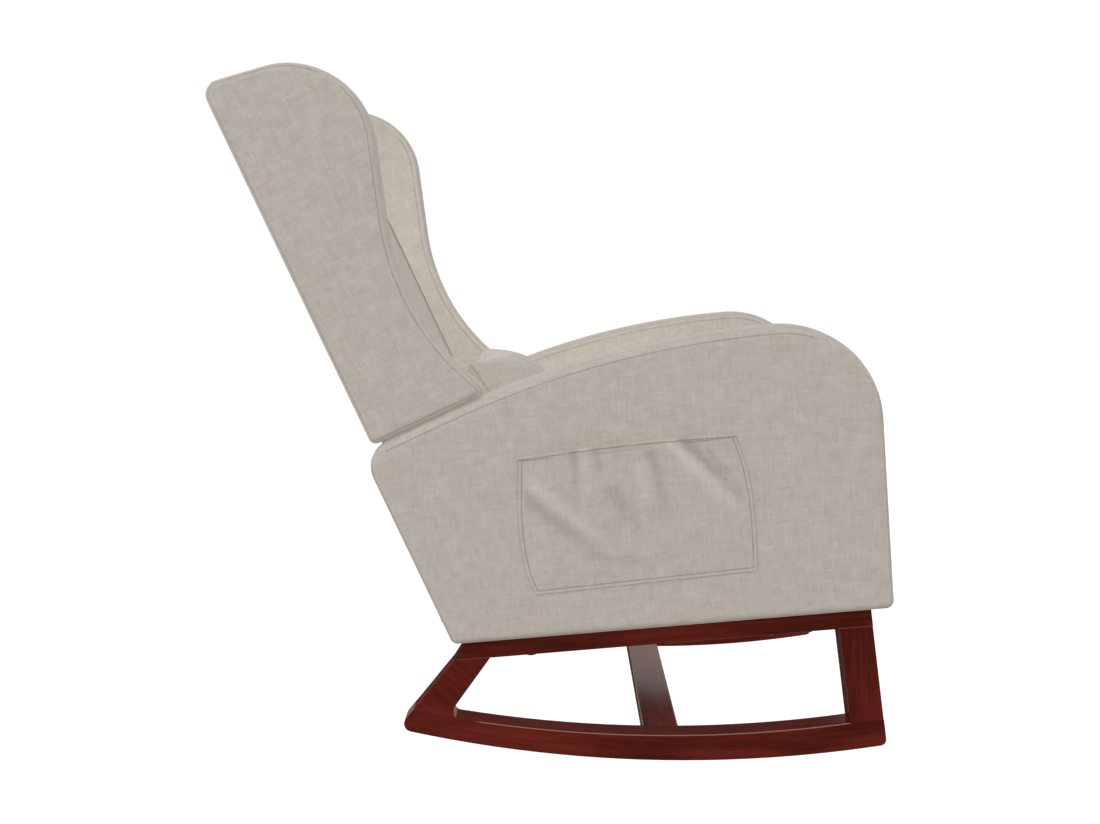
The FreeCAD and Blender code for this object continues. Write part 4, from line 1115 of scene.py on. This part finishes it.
def puff(piece, node, voxel, pressure, cap, share=None):
    """Fill a piece like a cushion: remesh it, blow it up as cloth for PUFF_FRAMES, hold each
    point's way to a cap, times a share that may change over the piece, and press what stands
    outside its CAD solid back inside."""
    remesh = piece.modifiers.new("remesh", "REMESH")
    remesh.mode, remesh.voxel_size = "VOXEL", voxel
    settle(piece)
    before = points_of(piece)
    cloth = piece.modifiers.new("cloth", "CLOTH")
    settings = cloth.settings
    for setting, value in {
        "quality": 5, "mass": 0.3, "tension_stiffness": 18, "compression_stiffness": 18,
        "shear_stiffness": 8, "bending_stiffness": 0.6, "use_pressure": True,
        "uniform_pressure_force": pressure,
    }.items():
        setattr(settings, setting, value)
    settings.effector_weights.gravity = 0
    cloth.collision_settings.use_collision = False
    scene = bpy.context.scene
    for number in range(1, PUFF_FRAMES + 1):
        scene.frame_set(number)
    settle(piece)
    scene.frame_set(1)
    way = points_of(piece) - before
    if share:
        way *= share(before)[:, None]
    far = np.linalg.norm(way, axis=1)[:, None]
    set_points(piece, before + way * np.minimum(1, cap / np.maximum(far, 1e-9)))
    twin = twin_of(node)
    wrap = piece.modifiers.new("inside", "SHRINKWRAP")
    wrap.target, wrap.wrap_method, wrap.wrap_mode = twin, "NEAREST_SURFACEPOINT", "INSIDE"
    wrap.offset = 0.0002
    finer = piece.modifiers.new("finer", "SUBSURF")
    finer.levels = finer.render_levels = 1
    settle(piece)
    bpy.data.objects.remove(twin)
    piece.data.shade_smooth()
    return piece


CUSHION_HALF = 0.258
CUSHION_FRONT = -0.1476
CUSHION_REAR = 0.3964
CUSHION_FRONT_HIGH = 0.130
CUSHION_REAR_HIGH = 0.108
CUSHION_CROWN = 0.014
CUSHION_SEAM, CUSHION_FOOT_SEAM = 0.012, 0.010


def cushion_top(x, depth):
    """Height of the cushion's top: a slope from front to rear, an arch between, and a crown
    that falls to the two sides."""
    share = (depth - CUSHION_FRONT) / (CUSHION_REAR - CUSHION_FRONT)
    slope = CUSHION_FRONT_HIGH + (CUSHION_REAR_HIGH - CUSHION_FRONT_HIGH) * share
    arch = 0.002 + CUSHION_CROWN * (1 - (x / CUSHION_HALF) ** 2)
    return CUSHION_LOW + slope + arch * np.clip(4 * share * (1 - share), 0, 1)


def seat_cushion():
    """The seat cushion: a boxed profile carried along X, flat below. Its top rises by an arch,
    the product of two parabolas across and in depth, its ends are drawn in by the twelfth power
    of the way from the middle, and puff then fills its borders and top."""
    low = CUSHION_LOW + 0.0003
    inset, foot = 0.004, 0.0005
    loop = closed_outline([
        (CUSHION_FRONT + foot, low, 0.003), (CUSHION_REAR - foot, low, 0.003),
        (CUSHION_REAR - inset, CUSHION_LOW + CUSHION_REAR_HIGH - inset, 0.020),
        (CUSHION_FRONT + inset, CUSHION_LOW + CUSHION_FRONT_HIGH - inset, 0.022),
    ])

    def lift(depth, height, share):
        upper = np.clip((height - low) / 0.10, 0, 1)
        share_d = np.clip((depth - CUSHION_FRONT) / (CUSHION_REAR - CUSHION_FRONT), 0, 1)
        arch = CUSHION_CROWN * (1 - share ** 2) * 4 * share_d * (1 - share_d)
        drawn = 0.006 * share ** 12
        side = np.where(share_d > 0.5, -1.0, 1.0)
        return drawn * side, upper ** 3 * (arch * 0.8 - drawn)

    piece = carried("seat_cushion_cover", SEAT, loop, CUSHION_HALF - inset, lift, 0.012, 0.016)
    puff(
        piece, "seat_cushion", 0.006, 4.0, 0.010,
        lambda points: smooth(SEAT.back(points)[:, 2], CUSHION_LOW + 0.012, CUSHION_LOW + 0.05),
    )

    def seams(local):
        x, depth, height = local.T
        wall = np.minimum(depth - CUSHION_FRONT, CUSHION_REAR - depth)
        wall = np.maximum(0, np.minimum(CUSHION_HALF - np.abs(x), wall) - CUSHION_SEAM)
        upper = np.abs(cushion_top(x, depth) - height - CUSHION_SEAM) + wall
        lower = np.abs(height - CUSHION_LOW - CUSHION_FOOT_SEAM) + wall
        return np.minimum(np.minimum(upper, lower), FAR)

    upholster(piece, SEAT, seams, "seat_cushion")


TAIL_LONGER, TAIL_TAPER = 0.035, 0.012
WING_VALLEY = 0.0025
TOP_FULLNESS = 0.002


def backrest():
    """The pad between the wings: full in front, drawn in along the wings. Its tail, behind the
    seat cushion, is longer than the CAD pad's and tapers, which closes the crack there. The
    front falls back by a smooth step over the last tenth of its half width, and by the fourth
    power of the way up its upper half."""
    under = FRAME_INSET - 0.002
    cover = -BACK_COVER - SOFT_GAP
    ledge = -0.0006
    tail = -BACK_TAIL - TAIL_LONGER
    loop = closed_outline([
        (PAD_FRONT + TAIL_TAPER, tail, 0.008), (PAD_REAR, tail, 0.004),
        (PAD_REAR, ledge, 0), (PAD_REAR, 0, 0),
        (PAD_REAR, back_top(PAD_REAR, under), 0), (cover, back_top(-BACK_COVER, under), 0),
        (cover, back_top(-BACK_COVER), 0.002), (PAD_FRONT, back_top(PAD_FRONT), 0.006),
        (PAD_FRONT, 0, 0), (PAD_FRONT, ledge, 0), (PAD_FRONT, -BACK_TAIL + 0.02, 0),
    ])
    half = WING_PANEL_INNER - SOFT_GAP

    def lift(depth, height, share):
        front = smooth(-depth, 0.07, 0.1)
        across = np.abs(share) * half / WING_INNER
        drawn = WING_VALLEY * smooth(across, 0.90, 1.0)
        upright = TOP_FULLNESS * np.clip(2 * height / BACK_HEIGHT - 1, 0, 1.1) ** 4
        return front * (drawn + upright), 0 * height * share

    piece = carried(
        "backrest_cover", BACK, loop, half, lift, 0.010, 0.004,
        lambda height: np.where(height < ledge / 2, (ARM_INNER - 0.003) / half, 1.0),
    )
    seam = (PAD_FRONT, back_top(PAD_FRONT) - 0.030)
    upholster(piece, BACK, line_seams([seam]), "backrest_pad")


def pillow():
    """The lumbar pillow: two faces sewn together round their edge. Along X it is a row of closed
    rings. Their thickness falls from the middle to a thin rim as a root of one less the square
    of the way out, their height is drawn in most in the middle, and each ring is a circle whose
    cosine and sine are raised to powers that sharpen its two seams."""
    wide, tall, thick, rim, draw = 0.212, 0.1035, 0.074, 0.005, 0.014
    share = np.linspace(-1, 1, 61)
    turn = np.linspace(0, 2 * np.pi, 73)[:-1]
    x = share * wide
    full = np.sqrt(np.maximum(0, 1 - share ** 2)) ** 0.9
    half_tall = tall - draw * (1 - share ** 2) / 2
    c, s = np.cos(turn), np.sin(turn)
    depth = (rim + (thick - rim) * full)[:, None] * (np.sign(c) * np.abs(c) ** 1.5)[None]
    height = half_tall[:, None] * (np.sign(s) * np.abs(s) ** 0.9)[None]
    points = np.stack([np.broadcast_to(x[:, None], depth.shape), depth, height], -1)
    piece = skinned("lumbar_pillow_cover", PILLOW, points)
    puff(piece, "lumbar_pillow", 0.005, 3.0, 0.010)

    def seams(local):
        x, depth, height = local.T
        inside = np.minimum(0.085 - np.abs(height), 0.19 - np.abs(x))
        return np.minimum(np.abs(depth) + np.maximum(0, inside), FAR)

    upholster(piece, PILLOW, seams, "lumbar_pillow", body="pillow")


seat_cushion()
backrest()
pillow()


# Side pockets


POCKET_REAR = np.array([
    (0.3437, 0.2682), (0.3577, 0.3155), (0.3582, 0.3669), (0.3575, 0.4175), (0.3522, 0.4615),
])
POCKET_FRONT = np.array([
    (0.0294, 0.2762), (0.0280, 0.3286), (0.0286, 0.3719), (0.0338, 0.4230), (0.0461, 0.4694),
])
POCKET_WIDE, POCKET_TALL = 0.315, 0.193
POCKET_HEM = 0.0045
POCKET_STAND = 0.0075
POCKET_CLOTH = 0.0015
POCKET_SEAM, POCKET_EDGE_SHADE, POCKET_LINE = 0.0055, 0.0003, 0.0004
POCKET_GRID = (0.0006, 14, 0.0028)
POCKET_MOUTH = np.polyfit([0.0461, 0.2, 0.3522], [0.4694, 0.4699, 0.4615], 2)
POCKET_FOLDS = [
    # (share from the rear, share up) of both ends, height, width
    ((0.255, 0.99), (0.26, 0.60), -0.0022, 0.006),
    ((0.30, 0.99), (0.31, 0.66), 0.0016, 0.006),
    ((0.36, 0.99), (0.37, 0.78), -0.0020, 0.006),
    ((0.42, 0.66), (0.50, 0.42), -0.0024, 0.012),
    ((0.60, 0.90), (0.64, 0.46), -0.0022, 0.008),
    ((0.54, 0.80), (0.56, 0.52), 0.0014, 0.009),
    ((0.70, 0.97), (0.95, 0.40), 0.0026, 0.008),
    ((0.76, 0.99), (0.97, 0.50), -0.0028, 0.007),
    ((0.85, 0.92), (0.96, 0.60), -0.0016, 0.005),
    ((0.03, 0.70), (0.32, 0.26), -0.0028, 0.009),
    ((0.08, 0.76), (0.38, 0.30), 0.0016, 0.008),
    ((0.30, 0.22), (0.52, 0.16), -0.0014, 0.008),
]


def bowed(line, share):
    """A smooth line through five measured points, as a curve of the third degree."""
    place = np.linspace(0, 1, len(line))
    return np.stack([np.polyval(np.polyfit(place, line[:, k], 3), share) for k in range(2)], -1)


def side_pocket(hand):
    """A pocket of one cloth sewn on three sides, a grid between its rear and front lines. Its
    stand off the arm grows by a smooth step in from the seams and up to the mouth. A fold adds
    its height times a bell curve of the distance from a short line, less along that line, and
    the hem on top is turned. The same folds, scaled, go into the cloth's colour as painted
    light and shade, with a painted highlight along the hem and painted shadow under it."""
    sign = HANDS[hand]
    wide, tall = POCKET_WIDE, POCKET_TALL
    a, b = stops(wide, *POCKET_GRID), stops(tall, *POCKET_GRID)
    b *= 1 + POCKET_HEM / tall
    rear, front = bowed(POCKET_REAR, b), bowed(POCKET_FRONT, b)
    flat = rear[None] * (1 - a)[:, None, None] + front[None] * a[:, None, None]
    flat[..., 1] += 0.004 * (np.sin(np.pi * a)[:, None] * smooth(b, 0.5, 1)[None])
    aa, bb = np.meshgrid(a, b, indexing="ij")
    inward = np.minimum(np.minimum(aa, 1 - aa) * wide, bb * tall)
    open_share = 0.30 + 0.70 * smooth(bb, 0.0, 1.0)
    stand = POCKET_STAND * smooth(inward, 0.0, 0.045) ** 0.8 * open_share
    # Painted light and shade: each fold's relief also makes its ridges lighter and its furrows
    # darker in the colour.
    painted_shade = np.zeros(aa.shape)
    for (a0, b0), (a1, b1), height, width in POCKET_FOLDS:
        if hand == "left":
            a0, a1 = 0.97 - a0 * 0.94, 0.97 - a1 * 0.94
        way = np.array([(a1 - a0) * wide, (b1 - b0) * tall])
        p = np.stack([(aa - a0) * wide, (bb - b0) * tall], -1)
        t = np.clip((p @ way) / (way @ way), 0, 1)
        gap = np.linalg.norm(p - t[..., None] * way, axis=-1)
        taper = 1 - 0.6 * t ** 2
        fold = height * taper * np.exp(-(gap / width) ** 2) * smooth(inward, 0.002, 0.014)
        stand, painted_shade = stand + fold, painted_shade + fold
    above = (bb - 1) * tall
    # A painted highlight along the turned hem, and painted shadow in the band under it.
    rim, under_hem_shadow = smooth(above, -0.0002, 0.0012), smooth(above, -0.03, -0.001)
    painted_shade = painted_shade / 0.0022 + 0.5 * rim - 0.3 * under_hem_shadow
    rolled = 0.0009 * smooth(above, -0.0010, 0.0004)
    x = sign * (HALF_WIDTH + 0.0009 + np.maximum(stand, 0) + rolled)
    points = SEAT.out(np.stack([x, flat[..., 0], flat[..., 1]], -1).reshape(-1, 3))
    piece = make(f"{hand}_pocket_cloth", points, grid_faces(len(a), len(b)), closed=False)
    # The painted light and shade, kept on the mesh for the linen's colour.
    mark = piece.data.attributes.new("painted_shade", "FLOAT", "POINT")
    mark.data.foreach_set("value", np.clip(painted_shade, -1.5, 1.5).ravel().astype(np.float32))
    thick = piece.modifiers.new("thickness", "SOLIDIFY")
    thick.thickness, thick.offset = POCKET_CLOTH, 0
    settle(piece)
    turn_faces_out(piece.data)
    loop = np.concatenate([rear, front[::-1]])

    def seams(local):
        gap = nearest_edge(local[:, 1:], loop)[0]
        below = np.polyval(POCKET_MOUTH, local[:, 1]) - local[:, 2]
        # The dark seam line also runs along the pocket's very edge: painted shade where the
        # cloth's edge meets the arm.
        sewn = np.minimum(np.abs(gap - POCKET_SEAM), gap + POCKET_EDGE_SHADE) + np.maximum(0, -below) * 4
        hem_line = np.abs(below - POCKET_LINE)
        return np.minimum(np.minimum(sewn, hem_line), FAR)

    lay_cloth(piece, SEAT, seams)
    finish_piece(piece, LINEN, "upholstery", "chair", f"{hand}_side_pocket")


for side in HANDS:
    side_pocket(side)


# Wood, steel and plastic of the CAD nodes


def dress(material, *names):
    """Give CAD nodes a material."""
    for name in names:
        nodes[name].data.materials.clear()
        nodes[name].data.materials.append(material)


ROCKER_CENTRE = (CONTACT_Y, ROCKER_RADIUS, ROCKER_RADIUS)
BASE_WOODS = [
    # wood, node, and how its streaks run and shine, its painted edge highlight and its painted
    # shade
    ("runner", "runner", {"bow": ROCKER_CENTRE, "arris": runner_edge_highlight, "dull": (0.82, 0.95)}),
    ("rail", "base_rail", {"lean": LEAN, "painted_shade": 0.78, "arris": rail_edge_highlight}),
    ("front_post", "front_post", {"lean": LEAN + 87, "painted_shade": 0.88}),
    ("rear_post", "rear_post", {"lean": LEAN + 132, "painted_shade": 0.84}),
]
for number, side in enumerate(HANDS):
    shift = (number * 3.1, number * 1.7, 0.4)
    for wood, node, looks in BASE_WOODS:
        dress(mahogany(f"{side}_{wood}_wood", shift, **looks), f"{side}_{node}")
# The stretcher's stain is darkened by a share of painted shade.
stretcher_wood = mahogany("stretcher_wood", (2, 5, 1), along_x=True, painted_shade=0.9, dull=(0.84, 0.96))
dress(stretcher_wood, "runner_stretcher")

BEECH, BEECH_DARK = paint(206, 172, 130), paint(174, 134, 92)
PINE, PINE_DARK = paint(214, 184, 138), paint(184, 146, 98)
FRAME_WOODS = [
    (frame_timber("rail_timber", PINE, PINE_DARK, lean=LEAN),
     "right_seat_rail", "left_seat_rail", "seat_corner_blocks"),
    (frame_timber("cross_timber", PINE, PINE_DARK, along_x=True),
     "front_seat_rail", "rear_seat_rail", "seat_back_board",
     "back_bottom_rail", "back_middle_rail", "back_top_rail"),
    (frame_timber("post_timber", BEECH, BEECH_DARK, lean=90 + LEAN + RAKE),
     "right_back_post", "left_back_post"),
    (frame_timber("plywood", PINE, PINE_DARK, lean=LEAN, plies=0.003),
     "right_arm_panel", "left_arm_panel", "right_wing_panel", "left_wing_panel"),
    (frame_timber("dowel_timber", BEECH, BEECH_DARK, lean=90), "base_dowels", "stretcher_dowels"),
]
for material, *names in FRAME_WOODS:
    dress(material, *names)
dress(metal("bronzed_steel", paint(74, 52, 46), 0.34), "base_bolts", "base_washers")
dress(metal("zinc_steel", paint(186, 188, 192), 0.22), "threaded_inserts")
dress(metal("black_spring_steel", paint(74, 76, 80), 0.30), "seat_springs")
dress(metal("bracket_steel", paint(150, 152, 156), 0.30), "back_receivers", "back_tongues")
dress(moulded("clip_plastic", paint(44, 46, 50)), "spring_clips")


# Floor, light and camera


FLOOR_HALF = 9.0


def studio_floor():
    """A wide pale floor, faintly mottled, that glows a little so it reads as white."""
    half = FLOOR_HALF
    points = np.array([(-half, -half, 0), (half, -half, 0), (half, half, 0), (-half, half, 0)])
    piece = make("floor", points, [[0, 1, 2, 3]], closed=False)
    pale = Finish("pale_floor", Roughness=0.9, Specular_IOR_Level=0.05)
    cloud = pale.noise(pale.place(), 2.0, 2.0, 0.5)
    pale.set(
        Base_Color=pale.blend(cloud, (0.24, 0.24, 0.24, 1), (0.27, 0.27, 0.27, 1)),
        Emission_Color=(1, 1, 1, 1), Emission_Strength=0.95,
    )
    piece.data.materials.append(pale.material)
    piece.visible_diffuse = False


def set_axes(item, side, up, back, place):
    """Put a lamp or camera at a place, with its three axes given."""
    columns = np.column_stack([side, up, back, place])
    item.matrix_world = Matrix([*columns.tolist(), [0, 0, 0, 1]])


def lamp(kind, name, place, away, beside, **settings):
    """A lamp at a place, turned so that its light comes from the way given by away. beside is
    any direction that isn't the same one."""
    light = bpy.data.lights.new(name, kind)
    for setting, value in settings.items():
        setattr(light, setting, value)
    item = bpy.data.objects.new(name, light)
    bpy.context.scene.collection.objects.link(item)
    away = np.array(away, float) / np.linalg.norm(away)
    side = np.cross(beside, away)
    side /= np.linalg.norm(side)
    set_axes(item, side, np.cross(away, side), away, place)
    return item


KEY_PLACE, KEY_AIM = np.array([-2.6, 0.9, 2.9]), np.array([0, -0.05, 0.5])
WALLS = [
    # name, way that the light comes from, power
    ("near_wall", (-1, 0.03, 0.15), 1.06),
    ("far_wall", (1, 0.1, 0.2), 1.15),
    ("front_wall", (0.1, -1, 0.1), 0.50),
    ("rear_wall", (-0.1, 1, 0.2), 0.65),
    ("ceiling", (0, 0.01, 1), 0.46),
]
WALL_SPREAD = math.radians(30)
INNER_LAMPS = [
    # name, place, power
    ("wing_fill", tuple(BACK.out(np.array([0.0, -0.07, 0.30]))), 0.85),
    ("arm_fill", (0.0, -0.15, 0.35), 1.2),
]
SURROUND_AS_LIGHT = 0.48


def studio_light():
    """A white surround seen by the camera and in reflections, softer as a light. Even shadowless
    walls of light stand on all sides and above, one soft box hangs over the near side, and two
    weak lamps inside the upholstery light the inner faces of the wings and arms."""
    world = bpy.data.worlds.new("studio")
    world.use_nodes = True
    bpy.context.scene.world = world
    tree = world.node_tree
    surround = tree.nodes["Background"]
    surround.inputs["Color"].default_value = (1, 1, 1, 1)
    path = tree.nodes.new("ShaderNodeLightPath")
    softer = tree.nodes.new("ShaderNodeMapRange")
    tree.links.new(path.outputs["Is Diffuse Ray"], softer.inputs["Value"])
    softer.inputs["To Min"].default_value = 1.0
    softer.inputs["To Max"].default_value = SURROUND_AS_LIGHT
    tree.links.new(softer.outputs[0], surround.inputs["Strength"])
    key = lamp(
        "AREA", "key_box", KEY_PLACE, KEY_PLACE - KEY_AIM, (0, 0, 1),
        shape="RECTANGLE", size=2.0, size_y=2.0, energy=12,
    )
    key.visible_camera = False
    for name, toward, power in WALLS:
        wall = lamp(
            "SUN", name, (0, 0, 3), toward, (0.31, 0.95, 0),
            energy=power, angle=WALL_SPREAD, use_shadow=False,
        )
        wall.visible_glossy = False
    for name, place, power in INNER_LAMPS:
        inner = lamp(
            "POINT", name, place, (0, 0, 1), (0, 1, 0),
            energy=power, shadow_soft_size=0.01, use_shadow=False, color=(0.92, 0.97, 1.0),
        )
        inner.visible_glossy = False


# The camera as measured on the photograph: the lens, the fall and turn of its line of sight,
# and its place.
CAMERA_LENS, CAMERA_SENSOR = 48.207, 36
CAMERA_PITCH = math.radians(5.5064)
CAMERA_YAW = math.atan(10 / 1472.997 * math.cos(CAMERA_PITCH))
CAMERA_PLACE = (-2.40405137, -0.00937419, 0.70106183)


def camera():
    """The photograph's view: from the sitter's right, a little above the arm."""
    view = bpy.data.cameras.new("camera")
    view.sensor_width, view.lens = CAMERA_SENSOR, CAMERA_LENS
    view.sensor_fit = "HORIZONTAL"
    item = bpy.data.objects.new("camera", view)
    bpy.context.scene.collection.objects.link(item)
    c, s = math.cos(CAMERA_YAW), math.sin(CAMERA_YAW)
    right = np.array([s, -c, 0])
    ahead = np.array([
        math.cos(CAMERA_PITCH) * c, math.cos(CAMERA_PITCH) * s, -math.sin(CAMERA_PITCH),
    ])
    set_axes(item, right, np.cross(right, ahead), -ahead, CAMERA_PLACE)
    bpy.context.scene.camera = item


studio_floor()
studio_light()
camera()
bpy.context.scene.view_settings.view_transform = "Standard"
